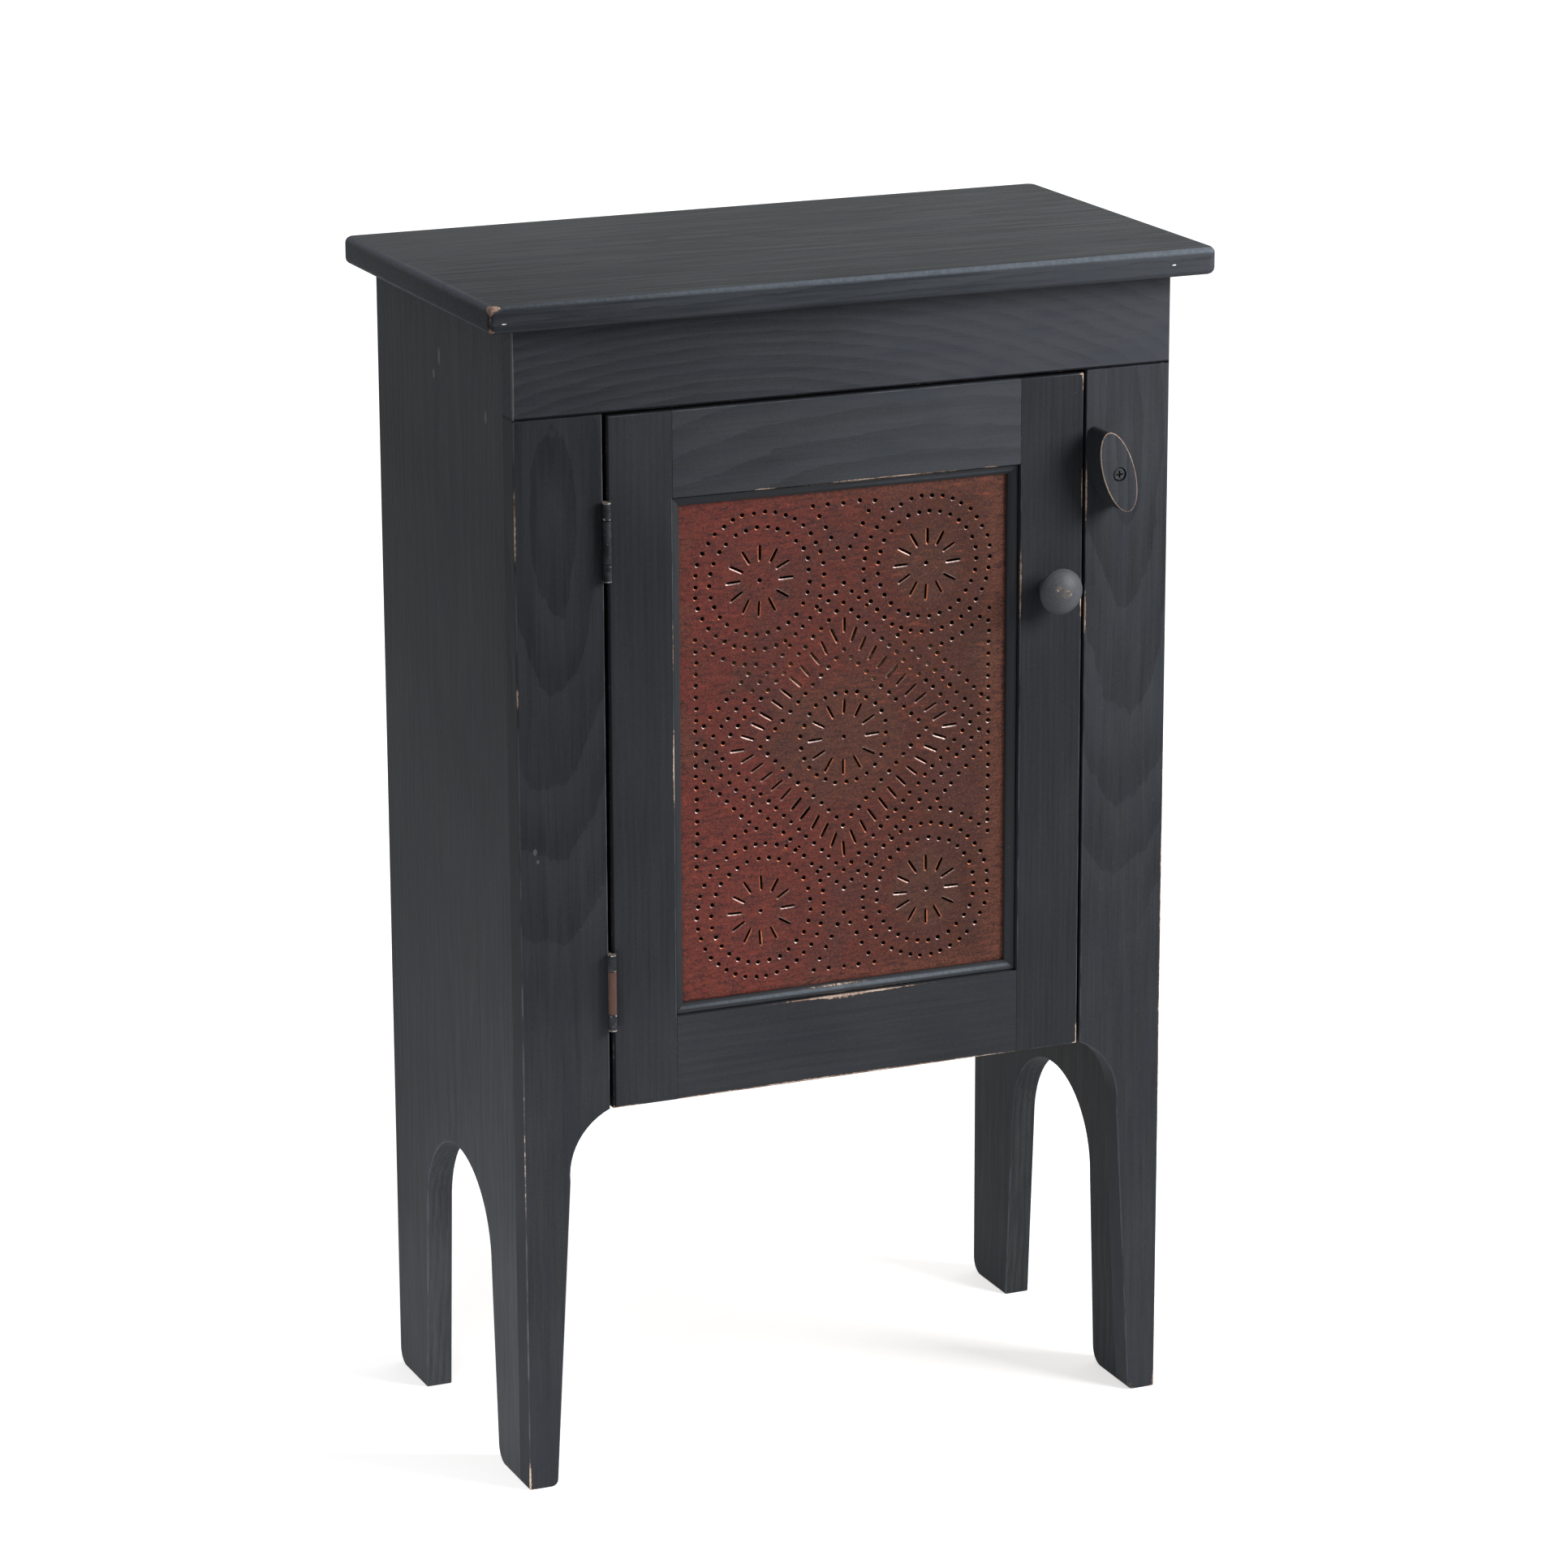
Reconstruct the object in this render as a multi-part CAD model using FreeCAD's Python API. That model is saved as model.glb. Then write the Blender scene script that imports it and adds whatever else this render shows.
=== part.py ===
import FreeCAD, Part
import math
import os

# Pie safe: a small pine cupboard on bracket legs, with one punched-tin door.
# Millimetres, +Z up, the door faces -Y. Every shape is drawn with the front of
# the face frame at y = 0 and moved to the middle of its footprint when saved.

os.makedirs("parts", exist_ok=True)

V = FreeCAD.Vector
ORIGIN = V(0, 0, 0)
X = V(1, 0, 0)
Y = V(0, 1, 0)
Z = V(0, 0, 1)

# ---------------------------------------------------------------- sizes
# Case
board = 19.0  # thickness of the boards of case, frame and door
case_width = 482.0
case_depth = 266.0  # front of the face frame to the back edge
case_height = 816.0  # floor to the underside of the top
leg_height = 269.5  # floor to the underside of case bottom and door
top_overhang = 24.0  # past the front and both sides, flush at the back
top_round = 3.0  # radius on the arrises of the top
back_thickness = 6.0
back_lap = 9.5  # how far the back panel laps into each side
dado_depth = 6.0  # how far the case bottom runs into each side
inner_room = 1.0  # air between the inner parts and the closed door

# Face frame
stile_width = 63.0
header_height = 63.0
foot_width = 21.0  # front leg at the floor, seen from the front
knee_width = 33.5  # front leg under the bracket curve
knee_drop = 48.5  # height of the bracket curve
knee_bulge = 0.68  # how full the bracket curve is, 0.5 is a straight line

# Arch in each side board
arch_front = 70.0  # depth of the front leg at the spring of the arch
arch_back = 66.0  # depth of the back leg there
arch_crown = 61.5  # board left above the arch, up to the case bottom
arch_flare = 9.0  # how much wider the gap between the legs is at the floor, each way

# Inside
shelf_height = 275.5  # upper face of the case bottom to upper face of the shelf
shelf_play = 0.5
cleat_width = 12.0  # shelf cleat, out from the side
cleat_height = 19.0
cleat_inset = 10.0  # shelf cleat ends, in from front and back of the inside
stop_length = 80.0
stop_overlap = 20.0  # how far the door stop hangs behind the door

# Hinges
leaf_thickness = 1.2
leaf_clearance = 0.1  # between the two closed leaves
leaf_depth = 17.0
leaf_height = 54.0
leaf_end_knuckle = 12.0
knuckle_gap = 0.15
barrel_radius = 2.9
barrel_clearance = 0.3  # barrel to the face of frame and door
pin_radius = 1.3
pin_clearance = 0.05
hinge_inset = 84.0  # hinge centre from the door's end

# Door
door_stile_width = 47.0
door_rail_height = 59.5
tenon_thickness = 8.0
tenon_length = 25.0
tenon_shoulder = 8.0
tenon_end_room = 0.5
moulding_width = 7.0
moulding_set_back = 3.2  # crest of the moulding behind the door's face
quirk_width = 0.9  # groove at the moulding's outer edge
quirk_depth = 1.4
slope_bulge = 0.8  # how far the moulding's slope stands out from a straight one
lip_height = 2.4  # upright inner edge of the moulding, next to the tin
tin_depth = 9.0  # front of the tin behind the door's face
tin_thickness = 0.4
tin_edge_room = 1.5
retainer_width = 10.0
retainer_set_back = 1.0  # retainers stay in front of the door's back

# Punched pattern in the tin
dot_radius = 0.9
dot_pitch = 7.9
punches_apart = 2.6  # nearest that two punches come, middle to middle
slot_length = 10.0
slot_width = 1.2
slot_pitch = 10.2
lean_near_side = 20.0  # slots round the diamond, off level at its side corners
lean_near_top = 70.0
border_margin = 18.0  # from the tin's edge to the dotted side borders
border_reach = 79.5  # half the height of a side border
rosette_side_margin = 65.0  # tin's side edge to a corner rosette's centre
rosette_end_margin = 63.5
rosette_slot_radius = 19.5  # middle of the slots
rosette_inner_ring = 37.0
rosette_outer_ring = 47.5
slots_in_rosette = 12
centre_slot_radius = 21.5
centre_ring = 32.0
gusset_radius = 58.3  # arc between a corner rosette and its side border
gusset_end_angle = -87.0
gusset_dots = 7
diamond_margin = 1.0  # side border to the corner of the outer dotted diamond
diamond_gap = 13.0  # outer to middle dotted diamond
diamond_slot_gap = 29.0  # outer dotted to slotted diamond
diamond_inner_gap = 46.0  # outer to inner dotted diamond
crest_margin = 15.5  # end of the tin to the base of the end triangle
crest_height = 38.5
crest_half_width = 23.0
crest_pitch = 9.1

# Knob
knob_radius = 16.0
knob_reach = 25.0
knob_rim_depth = 15.0  # widest circle, out from the door
knob_rim_height = 3.2
knob_rim_ease = 1.1  # how far the dome starts inside the rim
knob_shoulder_drop = 3.3  # under the rim
knob_shoulder_ease = 3.2
knob_neck_radius = 7.5
knob_neck_depth = 5.2
knob_foot_radius = 9.0
knob_height = 333.5  # centre above the door's lower edge

# Turn button
button_length = 59.0
button_width = 24.0
button_thickness = 23.0
button_inset = 14.0  # screw, out from the frame's inner edge
button_drop = 70.0  # screw below the header
button_offset = 1.5  # screw off the middle, along the button
button_rest_angle = 73.0  # long axis at rest, from level, with its left end up
button_gap = 0.5
button_sink_depth = 3.0
button_sink_room = 0.5
turn_clearance = 0.05

# Fasteners
screw_radius = 1.8
screw_head_radius = 3.6
screw_bite = 14.0  # run of a screw in the second board
screw_clearance = 0.05
screw_end_room = 30.0  # end of a cleat to its first pair of screws
screw_stagger = 6.0  # keeps the screws up clear of the screws sideways
cleat_screw_pitch = 90.0
leaf_screw_radius = 1.4
leaf_screw_head_radius = 2.6
leaf_screw_length = 16.0
leaf_screw_spread = 17.0  # hinge centre to its screws
pan_head_radius = 4.5
pan_head_height = 2.4
recess_length = 4.6
recess_width = 1.0
recess_depth = 1.4
nail_radius = 0.9
nail_length = 38.0
nail_sink = 0.5
nail_pitch = 130.0
lowest_frame_nail = 67.0
nail_end_room = 40.0
back_nail_length = 15.0
brad_radius = 0.6
brad_length = 22.0
brad_pitch = 110.0
brad_end_room = 42.0
dowel_radius = 4.0
dowel_length = 40.0
dowel_end_room = 0.5
dowel_inset = 15.5  # inner dowel from the frame's inner edge
dowel_spacing = 28.5

# Drafting
past_face = 1.0  # how far a cutter runs past the face it opens

# ---------------------------------------------------------------- places
half_case = case_width / 2
inner_half = half_case - board
floor_top = leg_height + board
inside_front = board + inner_room
inside_back = case_depth - back_thickness
frame_inner = half_case - stile_width
header_bottom = case_height - header_height
door_gap = 2 * leaf_thickness + leaf_clearance
door_half = frame_inner - door_gap
door_top = header_bottom - door_gap
door_bottom = leg_height
opening_half = door_half - door_stile_width
opening_top = door_top - door_rail_height
opening_bottom = door_bottom + door_rail_height
opening_width = 2 * opening_half
opening_height = opening_top - opening_bottom
tin_centre = (opening_top + opening_bottom) / 2
hinge_x = -frame_inner + door_gap / 2
hinge_y = -(barrel_radius + barrel_clearance)
hinge_heights = [door_bottom + hinge_inset, door_top - hinge_inset]
knob_x = door_half - door_stile_width / 2
knob_z = door_bottom + knob_height
button_x = frame_inner + button_inset
button_z = header_bottom - button_drop
button_front = -(button_gap + button_thickness)
shelf_top = floor_top + shelf_height
cleat_top = shelf_top - board
front_reach = max(knob_reach, top_overhang, -button_front)
to_middle = V(0, (front_reach - case_depth) / 2, 0)


# ---------------------------------------------------------------- helpers
def block(x0, x1, y0, y1, z0, z1):
    return Part.makeBox(x1 - x0, y1 - y0, z1 - z0, V(x0, y0, z0))


def rod(radius, start, direction, length):
    return Part.makeCylinder(radius, length, start, direction)


def line(start, end):
    return Part.LineSegment(start, end).toShape()


def arc_through(start, middle, end):
    return Part.Arc(start, middle, end).toShape()


def slab(edges, depth):
    """A closed outline extruded along depth."""
    return Part.Face(Part.Wire(edges)).extrude(depth)


def other_side(shape):
    return shape.mirror(ORIGIN, X)


def both_sides(shapes):
    return shapes + [other_side(shape) for shape in shapes]


def spread(start, end, pitch):
    """Evenly spaced places from start to end, about one pitch apart."""
    count = max(1, round((end - start) / pitch))
    return [start + (end - start) * i / count for i in range(count + 1)]


def sunk_screw(start, direction, length, radius, head_radius, grow):
    """Countersunk screw with its head flush at start; grow widens it into its hole."""
    cone_height = head_radius - radius
    cone = Part.makeCone(head_radius + grow, radius + grow, cone_height, start, direction)
    return cone.fuse(rod(radius + grow, start, direction, length + grow))


def wood_screw(start, direction, length, grow):
    return sunk_screw(start, direction, length, screw_radius, screw_head_radius, grow)


def leaf_screw(start, direction, grow):
    radius, head_radius = leaf_screw_radius, leaf_screw_head_radius
    return sunk_screw(start, direction, leaf_screw_length, radius, head_radius, grow)


def save(name, *shapes):
    solids = [solid for shape in shapes for solid in shape.Solids]
    placed = [solid.translated(to_middle) for solid in solids]
    shape = placed[0] if len(placed) == 1 else Part.makeCompound(placed)
    shape.exportStep("parts/" + name + ".step")


# ---------------------------------------------------------------- fasteners
# Each set is drawn for the right-hand side where the case has one on both.
# grow makes the same set a little fatter, as the holes it goes into.
def top_screws(grow=0.0):
    """Screws up through the top cleat into the top."""
    x = inner_half - board / 2
    z = case_height - board
    length = board + screw_bite
    return [wood_screw(V(x, y + screw_stagger, z), Z, length, grow) for y in top_cleat_places()]


def side_screws(grow=0.0):
    """Screws sideways through the top cleat into the side."""
    x = inner_half - board
    z = case_height - board / 2
    length = board + screw_bite
    return [wood_screw(V(x, y - screw_stagger, z), X, length, grow) for y in top_cleat_places()]


def top_cleat_places():
    return spread(inside_front + screw_end_room, inside_back - screw_end_room, cleat_screw_pitch)


def shelf_screws(grow=0.0):
    """Screws sideways through the shelf cleat into the side."""
    x = inner_half - cleat_width
    z = cleat_top - cleat_height / 2
    inset = cleat_inset + screw_end_room
    length = cleat_width + screw_bite
    return [wood_screw(V(x, y, z), X, length, grow) for y in (inside_front + inset, inside_back - inset)]


def frame_nails(grow=0.0):
    """Finish nails through the face frame into the side's front edge."""
    x = half_case - board / 2
    heights = spread(lowest_frame_nail, header_bottom - nail_end_room, nail_pitch)
    heights.append(case_height - header_height / 2)
    return [rod(nail_radius + grow, V(x, nail_sink, z), Y, nail_length + grow) for z in heights]


def back_nails(grow=0.0):
    """Nails through the back panel into the side's rabbet."""
    x = inner_half + back_lap / 2
    y = case_depth - nail_sink
    heights = spread(floor_top + nail_end_room, case_height - nail_end_room, nail_pitch)
    return [rod(nail_radius + grow, V(x, y, z), -Y, back_nail_length + grow) for z in heights]


def frame_dowels(grow=0.0, end_room=0.0):
    """Dowels that join the stile to the header."""
    z = header_bottom - dowel_length / 2 - end_room
    length = dowel_length + 2 * end_room
    inner_x = frame_inner + dowel_inset
    places = [inner_x, inner_x + dowel_spacing]
    return [rod(dowel_radius + grow, V(x, board / 2, z), Z, length) for x in places]


def leaf_screw_heights():
    return [centre + side * leaf_screw_spread for centre in hinge_heights for side in (-1, 1)]


def frame_leaf_screws(grow=0.0):
    x = -frame_inner + leaf_thickness
    return [leaf_screw(V(x, board / 2, z), -X, grow) for z in leaf_screw_heights()]


def door_leaf_screws(grow=0.0):
    x = -door_half - leaf_thickness
    return [leaf_screw(V(x, board / 2, z), X, grow) for z in leaf_screw_heights()]


def retainer_brads(grow=0.0):
    """Brads that pin the retainers to the door's stiles and rails."""
    y = (tin_depth + tin_thickness + board - retainer_set_back) / 2
    length = brad_length + grow
    retainer_inner = opening_half - retainer_width
    brads = []
    for z in spread(opening_bottom + brad_end_room, opening_top - brad_end_room, brad_pitch):
        for side in (-1, 1):
            brads.append(rod(brad_radius + grow, V(side * retainer_inner, y, z), X * side, length))
    for x in spread(-opening_half + brad_end_room, opening_half - brad_end_room, brad_pitch):
        for edge, side in ((opening_bottom, -1), (opening_top, 1)):
            start = V(x, y, edge - side * retainer_width)
            brads.append(rod(brad_radius + grow, start, Z * side, length))
    return brads


def cross_recess(centre, direction):
    """Cutters for the cross in a screw head, sunk from centre along direction (1 or -1 on Y)."""
    y0, y1 = sorted((centre.y, centre.y + direction * recess_depth))
    arm, half = recess_length / 2, recess_width / 2
    level = block(centre.x - arm, centre.x + arm, y0, y1, centre.z - half, centre.z + half)
    upright = block(centre.x - half, centre.x + half, y0, y1, centre.z - arm, centre.z + arm)
    return [level, upright]


def pan_screw(seat, direction, length):
    """Round-headed screw: the head stands on seat and the shank runs along direction."""
    head_top = seat - direction * pan_head_height
    head = rod(pan_head_radius, head_top, direction, pan_head_height)
    rim = max(head.Edges, key=lambda edge: -direction.dot(edge.CenterOfMass))
    head = head.makeFillet(pan_head_height / 2, [rim])
    shape = head.fuse(rod(screw_radius, seat, direction, length))
    return shape.cut(cross_recess(head_top, direction.y))


# ---------------------------------------------------------------- case
def side_arch():
    """Space between the legs of a side board: a round arch with flared legs."""
    radius = (case_depth - arch_front - arch_back) / 2
    spring_z = leg_height - arch_crown - radius
    x = inner_half - past_face
    front = V(x, arch_front, spring_z)
    crown = V(x, arch_front + radius, spring_z + radius)
    back = V(x, case_depth - arch_back, spring_z)
    front_foot = V(x, arch_front - arch_flare, 0)
    back_foot = V(x, case_depth - arch_back + arch_flare, 0)
    below = Z * -past_face
    edges = [
        line(front_foot, front),
        arc_through(front, crown, back),
        line(back, back_foot),
        line(back_foot, back_foot + below),
        line(back_foot + below, front_foot + below),
        line(front_foot + below, front_foot),
    ]
    return slab(edges, X * (board + 2 * past_face))


def right_side():
    outer_dado = inner_half + dado_depth
    outer_rabbet = inner_half + back_lap
    plank = block(inner_half, half_case, board, case_depth, 0, case_height)
    dado = block(inner_half, outer_dado, inside_front, inside_back, leg_height, floor_top)
    rabbet = block(inner_half, outer_rabbet, inside_back, case_depth, leg_height, case_height)
    holes = side_screws(screw_clearance) + shelf_screws(screw_clearance)
    holes += frame_nails(screw_clearance) + back_nails(screw_clearance)
    return plank.cut([side_arch(), dado, rabbet] + holes)


def right_stile():
    """Face-frame stile that runs down into a bracket leg."""
    knee = V(half_case - knee_width, 0, leg_height - knee_drop)
    curve_top = V(frame_inner, 0, leg_height)
    curve_x = frame_inner + (knee.x - frame_inner) * knee_bulge
    on_curve = V(curve_x, 0, knee.z + knee_drop * knee_bulge)
    foot_inner = V(half_case - foot_width, 0, 0)
    foot_outer = V(half_case, 0, 0)
    shoulder_outer = V(half_case, 0, header_bottom)
    shoulder_inner = V(frame_inner, 0, header_bottom)
    edges = [
        arc_through(curve_top, on_curve, knee),
        line(knee, foot_inner),
        line(foot_inner, foot_outer),
        line(foot_outer, shoulder_outer),
        line(shoulder_outer, shoulder_inner),
        line(shoulder_inner, curve_top),
    ]
    holes = frame_nails(screw_clearance) + frame_dowels(screw_clearance, dowel_end_room)
    return slab(edges, Y * board).cut(holes)


def header_rail():
    rail = block(-half_case, half_case, 0, board, header_bottom, case_height)
    holes = frame_nails(screw_clearance) + frame_dowels(screw_clearance, dowel_end_room)
    return rail.cut(both_sides(holes))


def top_board():
    half = half_case + top_overhang
    plank = block(-half, half, -top_overhang, case_depth, case_height, case_height + board)
    plank = plank.makeFillet(top_round, plank.Edges)
    return plank.cut(both_sides(top_screws(screw_clearance)))


def case_bottom():
    half = inner_half + dado_depth
    return block(-half, half, inside_front, inside_back, leg_height, floor_top)


def back_panel():
    half = inner_half + back_lap
    panel = block(-half, half, inside_back, case_depth, leg_height, case_height)
    return panel.cut(both_sides(back_nails(screw_clearance)))


def inner_shelf():
    half = inner_half - shelf_play
    return block(-half, half, inside_front, inside_back - shelf_play, cleat_top, shelf_top)


def right_shelf_cleat():
    front = inside_front + cleat_inset
    back = inside_back - cleat_inset
    bottom = cleat_top - cleat_height
    strip = block(inner_half - cleat_width, inner_half, front, back, bottom, cleat_top)
    return strip.cut(shelf_screws(screw_clearance))


def right_top_cleat():
    bottom = case_height - board
    strip = block(inner_half - board, inner_half, board, inside_back, bottom, case_height)
    return strip.cut(top_screws(screw_clearance) + side_screws(screw_clearance))


def door_stop():
    """Block behind the header that the closed door meets."""
    half = stop_length / 2
    top = case_height - board
    behind_door = block(-half, half, inside_front, 2 * board, header_bottom - stop_overlap, top)
    on_header = block(-half, half, board, inside_front, header_bottom, top)
    return behind_door.fuse(on_header).removeSplitter()


button_hole = rod(screw_radius + screw_clearance, V(button_x, 0, button_z), Y, board)

save("top_board", top_board())
save("left_side", other_side(right_side()))
save("right_side", right_side())
save("back_panel", back_panel())
save("case_bottom", case_bottom())
save("inner_shelf", inner_shelf())
save("shelf_cleats", *both_sides([right_shelf_cleat()]))
save("top_cleats", *both_sides([right_top_cleat()]))
save("header_rail", header_rail())
save("door_stop", door_stop())
save("right_stile", right_stile().cut(button_hole))
save("left_stile", other_side(right_stile()).cut(frame_leaf_screws(screw_clearance)))
save("top_cleat_screws", *both_sides(top_screws() + side_screws()))
save("shelf_cleat_screws", *both_sides(shelf_screws()))
save("frame_nails", *both_sides(frame_nails()))
save("back_nails", *both_sides(back_nails()))
save("frame_dowels", *both_sides(frame_dowels()))


# ---------------------------------------------------------------- hinges
def hinge_leaf(centre_z, side, knuckles):
    """Leaf on the frame (side -1) or the door (side 1), with a knuckle over each span."""
    near = leaf_clearance / 2
    x0, x1 = sorted((hinge_x + side * near, hinge_x + side * (near + leaf_thickness)))
    low = centre_z - leaf_height / 2
    shape = block(x0, x1, leaf_clearance, leaf_depth, low, low + leaf_height)
    for start, end in knuckles:
        barrel = rod(barrel_radius, V(hinge_x, hinge_y, centre_z + start), Z, end - start)
        web = block(x0, x1, hinge_y, leaf_clearance, centre_z + start, centre_z + end)
        shape = shape.fuse([barrel, web])
    return shape.cut(rod(pin_radius + pin_clearance, V(hinge_x, hinge_y, low), Z, leaf_height))


def hinge_pin(centre_z):
    return rod(pin_radius, V(hinge_x, hinge_y, centre_z - leaf_height / 2), Z, leaf_height)


door_reach = leaf_height / 2 - leaf_end_knuckle
frame_reach = door_reach + knuckle_gap
door_knuckles = [(-door_reach, door_reach)]
frame_knuckles = [(-leaf_height / 2, -frame_reach), (frame_reach, leaf_height / 2)]
for name, centre_z in zip(("lower", "upper"), hinge_heights):
    frame_leaf = hinge_leaf(centre_z, -1, frame_knuckles)
    door_leaf = hinge_leaf(centre_z, 1, door_knuckles)
    save(name + "_frame_leaf", frame_leaf.cut(frame_leaf_screws(screw_clearance)))
    save(name + "_door_leaf", door_leaf.cut(door_leaf_screws(screw_clearance)))
save("hinge_pins", *[hinge_pin(centre_z) for centre_z in hinge_heights])
save("frame_leaf_screws", *frame_leaf_screws())
save("door_leaf_screws", *door_leaf_screws())


# ---------------------------------------------------------------- turn button
def turn_button():
    """Oval block, drawn level and turned about its screw to its angle at rest."""
    outline = Part.Ellipse(ORIGIN, button_length / 2, button_width / 2).toShape()
    oval = slab([outline], Z * button_thickness)
    oval.rotate(ORIGIN, X, 90)
    oval.translate(V(button_x - button_offset, -button_gap, button_z))
    front = V(button_x, button_front, button_z)
    oval.rotate(front, Y, button_rest_angle)
    sink = rod(pan_head_radius + button_sink_room, front, Y, button_sink_depth)
    bore = rod(screw_radius + turn_clearance, front, Y, button_thickness)
    return oval.cut([sink, bore])


head_seat = button_front + button_sink_depth - turn_clearance
shank_end = board - screw_bite / 2
save("turn_button", turn_button())
save("turn_button_screw", pan_screw(V(button_x, head_seat, button_z), Y, shank_end - head_seat))


# ---------------------------------------------------------------- door frame
rail_spans = {
    "door_bottom_rail": (door_bottom, opening_bottom),
    "door_top_rail": (opening_top, door_top),
}
brad_holes = retainer_brads(screw_clearance)


def tenon(side, low, high, grow=0.0):
    """Tenon at one end of a door rail, or with grow the mortise for it in the stile."""
    x0, x1 = sorted((side * opening_half, side * (opening_half + tenon_length + grow)))
    y0 = (board - tenon_thickness) / 2
    return block(x0, x1, y0, y0 + tenon_thickness, low + tenon_shoulder, high - tenon_shoulder)


def door_rail(low, high):
    rail = block(-opening_half, opening_half, 0, board, low, high)
    rail = rail.fuse([tenon(-1, low, high), tenon(1, low, high)])
    return rail.removeSplitter().cut(brad_holes)


def door_stile(side):
    x0, x1 = sorted((side * opening_half, side * door_half))
    plank = block(x0, x1, 0, board, door_bottom, door_top)
    mortises = [tenon(side, low, high, tenon_end_room) for low, high in rail_spans.values()]
    return plank.cut(mortises + brad_holes)


knob_screw_hole = rod(screw_radius + screw_clearance, V(knob_x, 0, knob_z), Y, board)

for name, (low, high) in rail_spans.items():
    save(name, door_rail(low, high))
save("door_hinge_stile", door_stile(-1).cut(door_leaf_screws(screw_clearance)))
save("door_latch_stile", door_stile(1).cut(knob_screw_hole))


# ---------------------------------------------------------------- moulding and retainers
def moulding_run(length):
    """Moulding along +X, outer edge on z = 0 with z pointing inwards, ends mitred."""
    crest = moulding_set_back
    quirk_floor = crest + quirk_depth
    lip = tin_depth - lip_height
    slope_top = V(0, crest, quirk_width)
    slope_foot = V(0, lip, moulding_width)
    on_slope = (slope_top + slope_foot) / 2 - Y * slope_bulge
    back_outer = V(0, tin_depth, 0)
    back_inner = V(0, tin_depth, moulding_width)
    edges = [
        line(back_outer, V(0, quirk_floor, 0)),
        line(V(0, quirk_floor, 0), V(0, quirk_floor, quirk_width)),
        line(V(0, quirk_floor, quirk_width), slope_top),
        arc_through(slope_top, on_slope, slope_foot),
        line(slope_foot, back_inner),
        line(back_inner, back_outer),
    ]
    bar = slab(edges, X * length)
    bar.translate(X * (-length / 2))
    outer = length / 2
    inner = outer - moulding_width
    corners = [V(-outer, 0, 0), V(outer, 0, 0), V(inner, 0, moulding_width), V(-inner, 0, moulding_width)]
    mitred = Part.Face(Part.makePolygon(corners + corners[:1])).extrude(Y * board)
    return bar.common(mitred)


def in_opening(run, turns, reach):
    """Turns a run by quarter turns about Y and sets it on its edge of the opening."""
    placed = run.copy()
    placed.translate(Z * -reach)
    placed.rotate(ORIGIN, Y, 90 * turns)
    placed.translate(Z * tin_centre)
    return placed


def retainer(x0, x1, z0, z1):
    """Strip behind the tin, pinned to the edge of the door's opening."""
    front = tin_depth + tin_thickness
    return block(x0, x1, front, board - retainer_set_back, z0, z1).cut(brad_holes)


level_run = moulding_run(opening_width)
upright_run = moulding_run(opening_height)
save("moulding_bottom", in_opening(level_run, 0, opening_height / 2))
save("moulding_left", in_opening(upright_run, 1, opening_width / 2))
save("moulding_top", in_opening(level_run, 2, opening_height / 2))
save("moulding_right", in_opening(upright_run, 3, opening_width / 2))

inner = opening_half - retainer_width
save("retainer_left", retainer(-opening_half, -inner, opening_bottom, opening_top))
save("retainer_right", retainer(inner, opening_half, opening_bottom, opening_top))
save("retainer_bottom", retainer(-inner, inner, opening_bottom, opening_bottom + retainer_width))
save("retainer_top", retainer(-inner, inner, opening_top - retainer_width, opening_top))
save("retainer_brads", *retainer_brads())

# ---------------------------------------------------------------- punched tin
# The pattern is drawn about the middle of the panel: x to the right, z up.
tin_half_width = opening_half - tin_edge_room
tin_half_height = opening_height / 2 - tin_edge_room
border_x = tin_half_width - border_margin
outer_diamond = border_x - diamond_margin
rosette_centre = V(tin_half_width - rosette_side_margin, 0, tin_half_height - rosette_end_margin)


def around(centre, radius, degrees):
    angle = math.radians(degrees)
    return centre + V(radius * math.cos(angle), 0, radius * math.sin(angle))


def along(start, end, pitch):
    """Places from start to end in even steps near the pitch, without the last one."""
    run = end - start
    count = max(1, round(run.Length / pitch))
    return [start + run * (i / count) for i in range(count)]


def ring(centre, radius):
    count = round(2 * math.pi * radius / dot_pitch)
    return [around(centre, radius, 360 * i / count) for i in range(count)]


def diamond(half):
    corners = [V(half, 0, 0), V(0, 0, half), V(-half, 0, 0), V(0, 0, -half)]
    sides = zip(corners, corners[1:] + corners[:1])
    return [place for start, end in sides for place in along(start, end, dot_pitch)]


def quarters(points):
    """The points with their mirror images left to right and top to bottom."""
    return [V(p.x * sx, 0, p.z * sz) for p in points for sx in (1, -1) for sz in (1, -1)]


def side_border():
    """Right half-border above the middle of the panel, with its end dot."""
    end = V(border_x, 0, border_reach)
    return along(V(border_x, 0, 0), end, dot_pitch) + [end]


def corner_gusset():
    """Dots from the end of a side border round the rosette and back down to the border."""
    first = V(border_x, 0, border_reach) - rosette_centre
    start = math.degrees(math.atan2(first.z, first.x))
    step = (gusset_end_angle - start) / (gusset_dots - 1)
    bow = [around(rosette_centre, gusset_radius, start + step * i) for i in range(gusset_dots)]
    foot = V(border_x, 0, bow[-1].z - (border_x - bow[-1].x))
    return bow + along(bow[-1], foot, dot_pitch)[1:]


def crest():
    """Right half of the small triangle at the end of the panel."""
    base_z = tin_half_height - crest_margin
    base_corner = V(crest_half_width, 0, base_z)
    tip = V(0, 0, base_z - crest_height)
    base = along(V(0, 0, base_z), base_corner, crest_half_width / 2)
    return base + along(base_corner, tip, crest_pitch) + [tip]


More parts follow.
